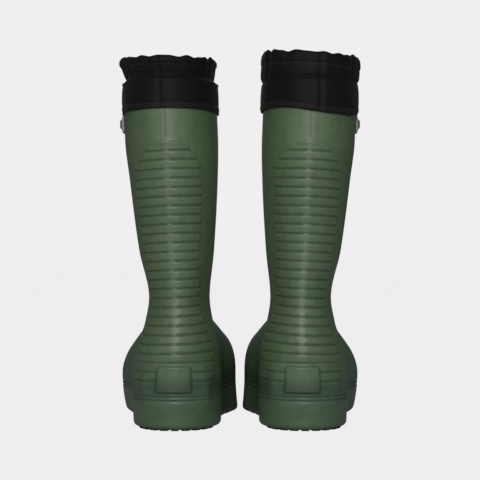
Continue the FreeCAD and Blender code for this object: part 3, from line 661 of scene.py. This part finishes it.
def half_round(edge, whole):
    """Distances round one half of a boot, from the ridge to the middle of the front."""
    ridge = np.broadcast_to(RIDGE_STEPS, (len(edge), len(RIDGE_STEPS)))
    borders = edge[:, None] + np.array(EDGE_STEPS)
    first, last = RIDGE_STEPS[-1], borders[:, -1:]
    panel = first + (borders[:, :1] - first) * np.linspace(0, 1, PANEL_COLUMNS + 2)[1:-1]
    rest = last + (whole[:, None] - last) * np.linspace(0, 1, REST_COLUMNS + 1)[1:]
    return np.hstack([ridge, panel, borders, rest])


def shell_grid(heights, inset, sloped=False, lead=0.0):
    """Rings of the boot's surface with the ridge and the panel's borders on grid lines.

    Gives the points and, for each, how far round from the ridge it lies (positive on the outer
    side) and how far the panel's border does. Sloped rings rise towards the inner side.
    """
    rows = np.asarray(heights, float)[:, None]
    x, y = surface(FINE_BEARINGS[None, :], rows, inset)
    steps = np.hypot(np.diff(x, axis=1), np.diff(y, axis=1))
    run = np.hstack([np.zeros((len(rows), 1)), np.cumsum(steps, axis=1)])
    whole = run[:, -1]
    wanted = along(PANEL, rows[:, 0])
    shift = along(RIDGE_PLACE, rows[:, 0]) + lead
    across = x - middle_line(rows) - shift[:, None]
    ridge, outer_edge, inner_edge = np.empty((3, len(rows)))
    for k in range(len(rows)):
        near = np.concatenate([across[k, -QUARTER:-1], across[k, :QUARTER]])
        near_run = np.concatenate([run[k, -QUARTER:-1] - whole[k], run[k, :QUARTER]])
        inner, ridge[k], outer = np.interp((-wanted[k], 0, wanted[k]), near, near_run)
        outer_edge[k] = outer - ridge[k]
        inner_edge[k] = ridge[k] - inner
    front = run[:, FRONT_BEARING] - ridge
    outer = half_round(outer_edge, front)
    inner = half_round(inner_edge, whole - front)[:, 1:-1]
    signed = np.hstack([outer, -inner[:, ::-1]])
    edges = np.where(signed >= 0, outer_edge[:, None], inner_edge[:, None])
    position = (signed + ridge[:, None]) % whole[:, None]
    bearing = np.empty(position.shape)
    for k in range(len(rows)):
        bearing[k] = np.interp(position[k], run[k], FINE_BEARINGS)
    z = np.broadcast_to(rows, bearing.shape)
    if sloped:
        fade = ease(z - 66, 20) * ease(355 - z, 40)
        round_fade = ease(75 - np.abs(signed), 30)
        z = z - GROOVE_SLOPE * np.clip(signed, -40, 40) * fade * round_fade
    x, y = surface(bearing, z, inset)
    return np.stack([x, y, z], -1), signed, edges


def kick_half(z):
    """Half width of the kick block, which is wider at its foot."""
    share = (z - KICK_BOTTOM) / (KICK_TOP - KICK_BOTTOM)
    return KICK_HALF_BOTTOM + (KICK_HALF_TOP - KICK_HALF_BOTTOM) * share


def shell_relief(signed, edges, z):
    """How far the shell's moulded detail stands out, and the painted shade at each point (0 to 1).
    """
    aside = np.abs(signed)

    # The ribbed panel and the bead of the arch above it
    in_panel = ease((edges - aside) / 0.8 + 0.5)
    arch = ARCH_TOP - ARCH_FALL * (aside / ARCH_REACH) ** 2
    above_first = ease(z - RIB_FIRST + 0.5)
    in_ribs = in_panel * above_first * ease((arch - z) / 0.9 + 0.5)
    place = (z - RIB_FIRST) / RIB_PITCH
    up = place - np.floor(place)
    nearest = np.clip(np.round(place), 0, RIB_COUNT - 1) * RIB_PITCH + RIB_FIRST
    groove = dent(z - nearest, GROOVE_HALF)
    bulge = RIB_BULGE * (1 - (2 * up - 1) ** 2)
    lip = RIB_LIP * bell((1 - up) * RIB_PITCH - LIP_PLACE, LIP_WIDTH)
    ribbed = PANEL_RISE + np.where(z < RIB_LAST, bulge + lip, 0.2) - GROOVE_DEPTH * groove
    relief = in_ribs * ribbed
    # Painted shade in the rib grooves
    hollow = in_ribs * groove
    border = ease(ARCH_REACH + 0.5 - aside, 3)
    relief += ARCH_BEAD * bell(z - arch, ARCH_WIDTH) * border * ease(z - RIB_LAST, 3)

    # The kick block, the grooves beside it and painted shade down its sides
    half = kick_half(z)
    inside = np.minimum(np.minimum(half - aside, z - KICK_BOTTOM + 0.6), KICK_TOP + 0.6 - z)
    raised = ease(inside, KICK_BEVEL)
    relief += KICK_DEPTH * raised
    # Painted shade on the lower part of the kick block
    hollow += SHADE_STRENGTH["kick"] * raised * ease(58 - z, 12)
    by_block = ease(aside - half - 0.5, 1.2) * in_panel
    for line in SIDE_GROOVES:
        dip = dent(z - line, GROOVE_HALF) * by_block
        relief -= GROOVE_DEPTH * dip
        # Painted shade in the grooves beside the block
        hollow += dip
    below_ribs = ease(RIB_FIRST - z + 0.5) * ease(z - 46.5, 2)
    relief += PANEL_RISE * by_block * below_ribs
    flank = bell(aside - half - 0.6, 0.9)
    on_flank = ease(z - KICK_BOTTOM, 2) * ease(KICK_TOP - z, 2)
    # Painted shade down the block's sides, which have no relief of their own
    hollow += SHADE_STRENGTH["flank"] * flank * on_flank

    # The ridge up the middle, low above the arch, with a crease beside it there
    ridge = 0.5 + 0.5 * np.cos(np.pi * np.clip(aside / RIDGE_HALF, 0, 1))
    above = ease(z - arch, 5)
    on_ridge = ease(z - RIB_FIRST, 1.5) * (1 - 0.85 * above)
    relief = relief * (1 - 0.75 * ridge * on_ridge) + RIDGE_HEIGHT * ridge * on_ridge
    # Less painted shade on the ridge
    hollow *= 1 - 0.85 * ridge * on_ridge
    crease = above * bell(signed - CREASE_PLACE, CREASE_WIDTH)
    relief -= CREASE_DEPTH * crease
    # Painted shade in the crease
    hollow += SHADE_STRENGTH["crease"] * crease

    # The lines round the sole and its rounded lower edge
    for line in SOLE_LINES:
        dip = dent(z - line, SOLE_LINE_HALF)
        relief -= SOLE_LINE_DEPTH * dip
        # Painted shade in the sole lines
        hollow += SHADE_STRENGTH["sole_line"] * dip
    rounding = np.clip((SOLE_BOTTOM + SOLE_ROUNDING - z) / SOLE_ROUNDING, 0, 1)
    relief -= SOLE_ROUNDING * (1 - np.sqrt(1 - rounding**2)) * 0.8
    # Painted shade on the rounded lower edge, which faces down
    hollow += SHADE_STRENGTH["rounding"] * rounding
    return relief, np.clip(hollow, 0, 1)


def make_shell(name):
    """The foam shell: moulded detail outside, plain inside, and a recess for the treads."""
    heights = shell_rows()
    lead = RIDGE_LEAD[name]
    grid, signed, edges = shell_grid(heights, 0.0, sloped=True, lead=lead)
    rows = np.broadcast_to(heights[:, None], signed.shape)
    relief, hollow = shell_relief(signed, edges, rows)
    out = normals(grid)
    # Round the lower edge of the sole the relief is level
    out[:4, :, 2] = 0
    outer = grid + out * relief[..., None]
    outer[:, :, 2] = np.clip(outer[:, :, 2], SOLE_BOTTOM, None)
    recess = shell_grid([RECESS_TOP, SOLE_BOTTOM], RECESS_INSET, lead=lead)[0]
    inner_heights = np.concatenate([[SHELL_TOP], np.linspace(SHELL_TOP - 2, SHELL_FLOOR, 26)])
    inner = shell_grid(inner_heights, SHELL_WALL, lead=lead)[0]
    rings = np.vstack([recess, outer, inner])
    caps = [(middle_line(z), AXIS_PLACE, z) for z in (RECESS_TOP, SHELL_FLOOR)]
    piece = ring_piece(name, "foam_shell", rings, caps=caps)
    # The painted shade of each outer point, kept for the foam's colour
    values = np.zeros(len(piece.data.vertices), np.float32)
    first = recess.shape[0] * recess.shape[1]
    values[first : first + hollow.size] = hollow.ravel()
    layer = piece.data.attributes.new("hollow", "FLOAT", "POINT")
    layer.data.foreach_set("value", values)
    hand_over(piece, name, "boot", FOAM, "shell")


def drawn_in(outline, centre, rings):
    """An outline as rings, each with a share of its size about a centre, and a height."""
    grid = np.empty((len(rings), len(outline), 3))
    for k, (share, height) in enumerate(rings):
        grid[k, :, :2] = centre + (outline - centre) * share
        grid[k, :, 2] = height
    return grid


def make_waist(name):
    """The foam of the sole between the two treads, flush with the skirt round them."""
    tries = np.linspace(0, 150, 1501)
    outer = []
    inner = []
    for y in np.linspace(*WAIST, 16):
        inside = tries[boot_distance(tries, y, SOLE_TOP, RECESS_INSET) < 0]
        outer.append((inside[-1], y))
        inner.append((inside[0], y))
    outline = np.array(outer + inner[::-1])
    centre = outline.mean(axis=0)
    rings = ((0.985, SOLE_BOTTOM), (1.0, SOLE_BOTTOM + 0.5), (1.0, RECESS_TOP))
    caps = [(*centre, SOLE_BOTTOM), (*centre, RECESS_TOP)]
    piece = ring_piece(name, "sole_waist", drawn_in(outline, centre, rings), caps=caps)
    hand_over(piece, name, "boot", FOAM)


# ---- cuff and collar

# Columns round the cuff and the collar, and the one in which their back seam lies
ROUND = 224
SEAM_COLUMN = 4
BEARINGS = np.linspace(-math.pi / 2, 1.5 * math.pi, ROUND, endpoint=False)
CLOTH_FRAMES = 24
# Height of the seam under the tunnel that holds the elastic
TUNNEL_SEAM = 388

# What differs between the boots, in mm: how far the collar is nipped above the cuff, flares at its
# top, lies towards the outer side, stands higher and drops towards the outer side; how far the
# cuff's hem drops at the outer side and rises at the inner one, and the cuff stands off the shell;
# and the seed of the folds
LOOKS = {
    "left": {
        "nip": 4.4, "flare": 0.6, "aside": 2.2, "lift": -5.0, "tilt": -1.0,
        "hem_drop": 0.0, "hem_rise": 0.5, "cuff": 1.3, "seed": 11,
    },
    "right": {
        "nip": -1.2, "flare": 1.0, "aside": 0.8, "lift": 0.0, "tilt": 7.0,
        "hem_drop": 5.0, "hem_rise": 3.0, "cuff": 2.2, "seed": 29,
    },
}


def band_grid(heights, insets):
    """Rings round the upper part of a boot, at heights and insets (one each per ring)."""
    rows = np.asarray(heights, float)[:, None]
    x, y = surface(BEARINGS[None, :], rows, np.asarray(insets, float)[:, None])
    return np.stack([x, y, np.broadcast_to(rows, x.shape)], -1)


def settle_cloth(label, start, cut, hold, pressure, bending):
    """Rings of cloth let go from start: they want the size of cut, held as hold says (0 to 1)."""
    rows, columns, _ = start.shape
    sheet = ring_piece("right", label, start)
    mesh = sheet.data
    sheet.shape_key_add(name="start")
    key = sheet.shape_key_add(name="cut")
    key.data.foreach_set("co", place_points(cut, 1).astype(np.float32).ravel())
    group = sheet.vertex_groups.new(name="held")
    for index, weight in enumerate(np.repeat(hold, columns)):
        if weight > 0:
            group.add([index], float(weight), "REPLACE")
    cloth = sheet.modifiers.new("Cloth", "CLOTH")
    settings = cloth.settings
    settings.quality = 6
    settings.mass = 0.05
    settings.tension_stiffness = settings.compression_stiffness = 20
    settings.shear_stiffness = 8
    settings.bending_stiffness = bending
    settings.vertex_group_mass = "held"
    settings.rest_shape_key = key
    settings.use_pressure = True
    settings.uniform_pressure_force = pressure
    settings.effector_weights.gravity = 0
    cloth.collision_settings.use_collision = False
    cloth.point_cache.frame_end = CLOTH_FRAMES
    scene = bpy.context.scene
    for step in range(1, CLOTH_FRAMES + 1):
        scene.frame_set(step)
    settled = sheet.evaluated_get(bpy.context.evaluated_depsgraph_get()).to_mesh()
    points = np.empty(len(settled.vertices) * 3)
    settled.vertices.foreach_get("co", points)
    sheet.to_mesh_clear()
    scene.frame_set(1)
    bpy.data.objects.remove(sheet)
    bpy.data.meshes.remove(mesh)
    return points.reshape(rows, columns, 3) / MM - (0, HEEL_BACK, 0)


def waves(seed, count, lowest, highest):
    """A smooth closed random line round the boot, about -1 to 1."""
    chance = np.random.default_rng(seed)
    total = np.zeros(ROUND)
    for _ in range(count):
        turns = chance.integers(lowest, highest + 1)
        total += chance.uniform(0.5, 1) * np.cos(turns * BEARINGS + chance.uniform(0, 2 * math.pi))
    return total / np.abs(total).max()


def net(up, around):
    """A share for each point of a grid, from one for each ring and one for each column."""
    return np.outer(up, around)[..., None]


def swollen(grid, amount):
    """A grid of rings, each grown about its own middle by an amount (a share of its size)."""
    middle = grid.mean(axis=1, keepdims=True)
    grown = middle + (grid - middle) * (1 + amount[:, None, None])
    grown[:, :, 2] = grid[:, :, 2]
    return grown


def lean(grid, drop):
    """How far points rise where the inner side lies higher than the outer one by a drop."""
    half_width = 50
    return -drop * (grid[:, :, 0] - middle_line(SHELL_TOP)) / half_width / 2


def back_seam(depth, rise):
    """A sewn seam down the back of a band, a little to the outer side: relief round the boot."""
    around = np.arange(ROUND) - SEAM_COLUMN
    around = (around + ROUND / 2) % ROUND - ROUND / 2
    return rise * bell(np.abs(around) - 2.8, 1.5) - depth * bell(around, 0.9)


def make_collar(name):
    """The middle of the collar's cloth: a grid of rings, gathered and settled."""
    look = LOOKS[name]
    nip, flare = look["nip"], look["flare"]
    heights = [368, 370, 372, 374.5, 377, 379.5, 382, 384.5, 387, 389, 391, 393.5, 396, 398.5, 401]
    heights = np.array(heights)
    insets = np.interp(
        heights,
        (368, 371, 375, 377, 397, 399.5, 402),
        (-0.5, 0.6, nip, nip - 0.8, -flare, -flare + 0.4, -flare + 2.5),
    )
    start = band_grid(heights, insets)
    start[:, :, 0] += (look["aside"] * ease(heights - 375, 22))[:, None]
    ripple = waves(look["seed"], 9, 9, 26)
    slow = waves(look["seed"] + 1, 5, 2, 6)
    free = ease(heights - 371, 12)
    out = normals(start)
    start += out * net(free, 0.9 * ripple + 0.7 * slow)
    cut = swollen(start, GATHER * ease(heights - 369, 6))
    hold = np.interp(
        heights,
        (368, 372, 374, 386, 387.5, 389, 390.5, 402),
        (1, 0.9, 0.25, 0.12, 0.6, 0.6, 0.3, 0.2),
    )
    settled = settle_cloth("collar_cloth", start, cut, hold, 0.05, 0.02)
    # Scallops along the top edge, and puckers under them
    scallop = waves(look["seed"] + 2, 9, 12, 26)
    settled[:, :, 2] += np.outer(ease(heights - 384, 18), 1.7 * scallop - 0.4)
    puckers = ease(heights - 378, 14) * (1 - 0.5 * ease(heights - 397, 4))
    settled += normals(settled) * net(0.9 * puckers, scallop)
    # How the whole collar leans and stands, lower at its back
    settled[:, :, 2] += ease(heights - 368, 20)[:, None] * lean(settled, look["tilt"])
    settled[:, :, 2] += look["lift"] * np.clip((heights - 372) / 30, 0, 1)[:, None]
    behind = ease(60 - settled[:, :, 1], 60)
    settled[:, :, 2] -= 3.5 * behind * ease(heights - 376, 24)[:, None]
    return settled


def cloth_solid(mid, thick_in, thick_out):
    """Two plies either side of a settled sheet, rolled over at the top edge: rings for a loop."""
    out = normals(mid)
    outer = mid + out * thick_out[:, None, None]
    inner = mid - out * thick_in[:, None, None]
    up = mid[-1] - mid[-2]
    up /= lengths(up)[:, None]
    top = thick_out[-1]
    over = [
        (mid[-1] + out[-1] * top * math.cos(angle) + up * top * math.sin(angle))[None]
        for angle in np.radians((35, 70, 110, 145))
    ]
    return np.vstack([outer, *over, inner[::-1]])


def dress_collar(name, mid):
    """The collar's cloth, the elastic in its top hem and the stitches under that."""
    rows = len(mid)
    heights = mid[:, :, 2].mean(axis=1)
    tunnel = ease(heights - TUNNEL_SEAM, 2)
    seam_dip = bell(heights - TUNNEL_SEAM, 1.0)
    thick_out = 0.75 + 0.9 * tunnel - 0.35 * seam_dip
    thick_in = 0.75 + 0.7 * tunnel
    rings = cloth_solid(mid, thick_in, thick_out)
    # Back seam: a shallow groove with slightly raised borders
    rings[:rows] += normals(rings[:rows]) * back_seam(1.3, 0.4)[None, :, None]
    piece = ring_piece(name, "gathered_collar", rings, loop=True)
    hand_over(piece, name, "boot", NYLON, "collar")
    # Elastic inside the tunnel, following the folds
    low = int(np.argmin(np.abs(heights - TUNNEL_SEAM - 3)))
    strip = mid[low:-1]
    thin = np.full(len(strip), 0.35)
    core = cloth_solid(strip, thin, thin)
    elastic = ring_piece(name, "hem_elastic", core, loop=True)
    hand_over(elastic, name, "boot", ELASTIC, "collar_elastic")
    # Stitch line under the tunnel
    row = int(np.argmin(np.abs(heights - TUNNEL_SEAM + 1)))
    thread = stitches(name, "collar_stitches", rings[row], normals(rings[:rows])[row])
    hand_over(thread, name, "boot", THREAD)


def make_cuff(name):
    """The padded cuff, turned down over the rim of the shell. Gives the rings at its hem."""
    look = LOOKS[name]
    count = 15
    heights = np.linspace(CUFF_BOTTOM + 0.5, CUFF_TOP - 2, count)
    swell = 0.8 * np.sin(np.pi * np.linspace(0.0, 1.0, count)) ** 0.5
    start = band_grid(heights, -look["cuff"] - swell)
    ripple = waves(look["seed"] + 5, 8, 6, 17)
    out = normals(start)
    inside = np.sin(np.pi * np.linspace(0.05, 0.95, count))
    start += out * net(0.3 * inside, ripple)
    cut = swollen(start, 0.045 * inside)
    hold = np.interp(
        heights, (339, 341.5, 344, 346, 364, 366, 368), (1, 1, 0.35, 0.06, 0.06, 0.5, 1)
    )
    settled = settle_cloth("cuff_cloth", start, cut, hold, 0.3, 0.05)
    # Over the top edge, down inside past the rim, down between cuff and shell, round the hem
    # (height and inset of each ring)
    rolled = (
        (370.2, -2.0), (371.4, 0.3), (371.6, 3.0), (370.6, 6.5), (368.0, 10.0),
        (366.4, 10.6), (366.4, 5.0), (366.4, -0.4), (360, -0.4), (350, -0.4), (341, -0.4),
        (CUFF_BOTTOM, -0.8), (CUFF_BOTTOM - 0.2, -2.2),
    )
    rings = np.vstack([settled, band_grid(*np.transpose(rolled))])
    # The hem hangs lower at the back of the outer side, and stays clear of the side tab
    lateral = ease(rings[:, :, 0] - middle_line(SHELL_TOP) + 45, 70)
    clear_of_tab = ease(58 - rings[:, :, 1], 25)
    low = ease(366 - rings[:, :, 2], 24)
    rings[:, :, 2] -= look["hem_drop"] * low * lateral * clear_of_tab
    rings[:, :, 2] += look["hem_rise"] * low * (1 - lateral)
    # Back seam, from hem to top
    rows = len(settled) + 1
    rings[:rows] += normals(rings[:rows]) * back_seam(1.5, 0.5)[None, :, None]
    piece = ring_piece(name, "puffed_cuff", rings, loop=True)
    hand_over(piece, name, "boot", NYLON, "cuff_band")
    return np.vstack([rings[-3:], rings[:4]])


def dress_cuff(name, edge):
    """Hem tape folded round the lower edge, with two rows of stitches."""
    out = normals(edge)
    outer = edge + out * np.array((0.05, 0.2, 0.25, 0.25, 0.3, 0.3, 0.1))[:, None, None]
    inner = edge - out * 0.3
    tape = ring_piece(name, "bound_hem", np.vstack([outer, inner[::-1]]), loop=True)
    hand_over(tape, name, "boot", TAPE, "hem_tape")
    for label, row in (("lower", 4), ("upper", 5)):
        thread = stitches(name, f"hem_stitches_{label}", outer[row], out[row])
        hand_over(thread, name, "boot", THREAD)


# ---- liner and footbed

HEEL_MIDDLE = 68.5


def make_pile(name):
    """The pile that lines the boot, tufted on its inner face."""
    below, floor = PILE_FLOOR
    heights = np.concatenate([np.linspace(below, 130, 30), np.linspace(135, SHELL_TOP, 24)])
    outer = shell_grid(heights, PILE_INSETS[0])[0]
    down = np.concatenate(
        [[SHELL_TOP], np.linspace(SHELL_TOP - 1.5, 130, 90), np.linspace(128, floor, 44)]
    )
    inner = shell_grid(down, PILE_INSETS[1])[0]
    chance = np.random.default_rng(3)
    tufts = chance.normal(0, 0.28, inner.shape[:2])
    tufts = (tufts + np.roll(tufts, 1, axis=0) + np.roll(tufts, 1, axis=1)) / 1.7
    tufts[0] = 0
    tufts[-1] = 0
    out = normals(inner[::-1])[::-1]
    out[:, :, 2] = 0
    inner = inner + out * tufts[..., None]
    caps = [(HEEL_MIDDLE, AXIS_PLACE, height) for height in PILE_FLOOR]
    piece = ring_piece(name, "pile_lining", np.vstack([outer, inner]), caps=caps)
    hand_over(piece, name, "boot", PILE, "liner_pile")


def make_footbed(name):
    """A contoured felt footbed, a little lower in the middle than round its edge."""
    base, top = FOOTBED_HEIGHTS
    outline = shell_grid([38.0], FOOTBED_INSET)[0][0, :, :2]
    centre = np.array([HEEL_MIDDLE, AXIS_PLACE])
    rings = [(0.985, base), (1.0, base + 0.8), (1.0, top), (0.99, top + 0.7), (0.97, top + 0.9)]
    for share in (0.93, 0.88, 0.8, 0.7, 0.55, 0.4, 0.25, 0.12):
        rings.append((share, top + 0.9 * share**6 - 0.6 * (1 - share)))
    caps = [(*centre, base), (*centre, top - 0.6)]
    piece = ring_piece(name, "contoured_footbed", drawn_in(outline, centre, rings), caps=caps)
    hand_over(piece, name, "boot", FELT, "footbed")


# ---- side tab


def tab_lean(z, aside):
    """How far the tab bends in towards the shell, away from its press stud on all sides."""
    reach = ((z - STUD_HEIGHT) / 10) ** 2 + (aside / 7) ** 2
    return -2.2 * np.minimum(reach, 1)


def make_tab(name):
    """The webbing tab under the cuff, rounded at its lower end, with its box of stitches."""
    low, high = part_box(f"{name}_side_tab")
    low, high = np.array(low) / MM, np.array(high) / MM
    thick = (high[0] - low[0] + TAB_SWELL) / 2
    half = (high[1] - low[1]) / 2
    x = (abs(high[0] + low[0]) + TAB_SWELL) / 2
    y = (high[1] + low[1]) / 2 - HEEL_BACK
    corner = 3.0
    rib = 1.2
    loop = np.linspace(0, 2 * math.pi, 48, endpoint=False)
    rings = []
    for z in np.arange(low[2], high[2] + 0.01, 0.25):
        up = min(z - low[2], corner)
        wide = half - corner + math.sqrt(max(corner**2 - (corner - up) ** 2, 0.4))
        relief = 0.09 * math.cos(2 * math.pi * (z - low[2]) / rib)
        flat = np.sign(np.cos(loop)) * np.abs(np.cos(loop)) ** 0.35 * (thick - 0.1 + relief)
        span = np.sign(np.sin(loop)) * np.abs(np.sin(loop)) ** 0.6 * wide
        rings.append(np.stack([x + flat + tab_lean(z, span), y + span, np.full(len(loop), z)], -1))
    caps = [(x + tab_lean(end, 0), y, end) for end in (low[2], rings[-1][0, 2])]
    piece = ring_piece(name, "webbing_tab", np.array(rings), caps=caps)
    hand_over(piece, name, "tab", WEBBING, "side_tab")
    flat = (2 * half * MM, (high[2] - low[2]) * MM)
    # The box of stitches near its upper end
    box = []
    corners = ((-5, 336.6), (5, 336.6), (5, 333.8), (-5, 333.8), (-5, 336.6))
    for (y0, z0), (y1, z1) in zip(corners, corners[1:]):
        for share in np.linspace(0, 1, 8, endpoint=False):
            z = z0 + (z1 - z0) * share
            aside = y0 + (y1 - y0) * share
            box.append((x + thick + tab_lean(z, aside), y + aside, z))
    face = np.tile((1.0, 0.0, 0.0), (len(box), 1))
    thread = stitches(name, "tab_stitches", np.array(box), face, 1.5, 0.7, 0.2)
    hand_over(thread, name, "tab", GREY_THREAD)


# ---- everything together

# The CAD nodes that stay in sight as they are, with their new materials
KEPT = {
    "liner_skin": SKIN,
    "liner_felt": FELT,
    "snap_stud": METAL,
    "snap_socket": METAL,
    "snap_cap": BLACK,
    "heel_tread": RUBBER,
    "forefoot_tread": RUBBER,
}

for name in SIDES:
    make_shell(name)
    make_waist(name)
    make_pile(name)
    make_footbed(name)
    dress_cuff(name, make_cuff(name))
    dress_collar(name, make_collar(name))
    make_tab(name)
    for part, material in KEPT.items():
        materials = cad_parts[f"{name}_{part}"].data.materials
        materials.clear()
        materials.append(material)

# ---- floor, light and camera

BACKGROUND = (0.863, 0.863, 0.863)
WORLD_LIGHT = 0.10
# The share of the floor's look that is its own glow, not the light that falls on it
FLOOR_GLOW = 0.985
FLOOR_REACH = 30.0
CAMERA_HEIGHT = 0.190
CAMERA_DISTANCE = 1.5
PICTURE_WIDTH = 0.501
# How far the picture's middle lies above the camera's height, as a share of its width
CAMERA_SHIFT = 1 / 48


def for_camera(tree, output, others, camera, share):
    """The camera sees one shader, by a share, and all other rays see the other one."""
    seen = calc(tree, "MULTIPLY", node(tree, "LightPath").outputs["Is Camera Ray"], share)
    both = node(tree, "MixShader", {0: seen, 1: others.outputs[0], 2: camera.outputs[0]})
    node(tree, output, {"Surface": both.outputs[0]})


def make_floor():
    """A pale studio floor that keeps the same tone as the background."""
    mesh = bpy.data.meshes.new("studio_floor")
    around = ((-1, -1), (1, -1), (1, 1), (-1, 1))
    corners = [(x * FLOOR_REACH, y * FLOOR_REACH, 0) for x, y in around]
    mesh.from_pydata(corners, [], [(0, 1, 2, 3)])
    floor = add_object("studio_floor", mesh)
    material = bpy.data.materials.new("studio_floor")
    material.use_nodes = True
    tree = material.node_tree
    tree.nodes.clear()
    lit = node(tree, "BsdfDiffuse", {"Color": (0.5, 0.5, 0.5, 1)})
    glow = node(tree, "Emission", {"Color": (*BACKGROUND, 1), "Strength": 1.0})
    for_camera(tree, "OutputMaterial", lit, glow, FLOOR_GLOW)
    mesh.materials.append(material)


def make_world():
    """A plain pale background; it lights the scene only a little."""
    world = bpy.data.worlds.new("studio")
    world.use_nodes = True
    tree = world.node_tree
    tree.nodes.clear()
    seen = node(tree, "Background", {"Color": (*BACKGROUND, 1), "Strength": 1.0})
    fill = node(tree, "Background", {"Color": (0.8, 0.9, 1.0, 1), "Strength": WORLD_LIGHT})
    for_camera(tree, "OutputWorld", fill, seen, 1.0)
    bpy.context.scene.world = world


def add_light(name, place, target_height, size, power):
    """An area light at a place in metres, turned towards a height on the upright axis."""
    data = bpy.data.lights.new(name, "AREA")
    data.shape = "RECTANGLE"
    data.size, data.size_y = size
    data.energy = power
    lamp = add_object(name, data)
    lamp.location = place
    away = Vector(place) - Vector((0, 0, target_height))
    lamp.rotation_euler = away.to_track_quat("Z", "Y").to_euler()


make_floor()
make_world()
add_light("key", (-0.12, -2.3, 1.0), 0.24, (0.7, 0.8), 44)
add_light("left", (-1.6, -1.5, 0.7), 0.25, (0.8, 1.2), 7)
add_light("right", (1.6, -1.5, 0.7), 0.25, (0.8, 1.2), 6)
add_light("top", (-0.2, -0.2, 2.0), 0.2, (1.4, 1.4), 3)
add_light("front", (0, 2.6, 1.1), 0.2, (1.6, 1.6), 7)

camera_data = bpy.data.cameras.new("camera")
camera_data.lens = camera_data.sensor_width * CAMERA_DISTANCE / PICTURE_WIDTH
camera_data.shift_y = CAMERA_SHIFT
camera = add_object("camera", camera_data)
camera.location = (0, HEEL_BACK * MM - CAMERA_DISTANCE, CAMERA_HEIGHT)
camera.rotation_euler = (math.pi / 2, 0, 0)
bpy.context.scene.camera = camera
bpy.context.scene.view_settings.view_transform = "Standard"
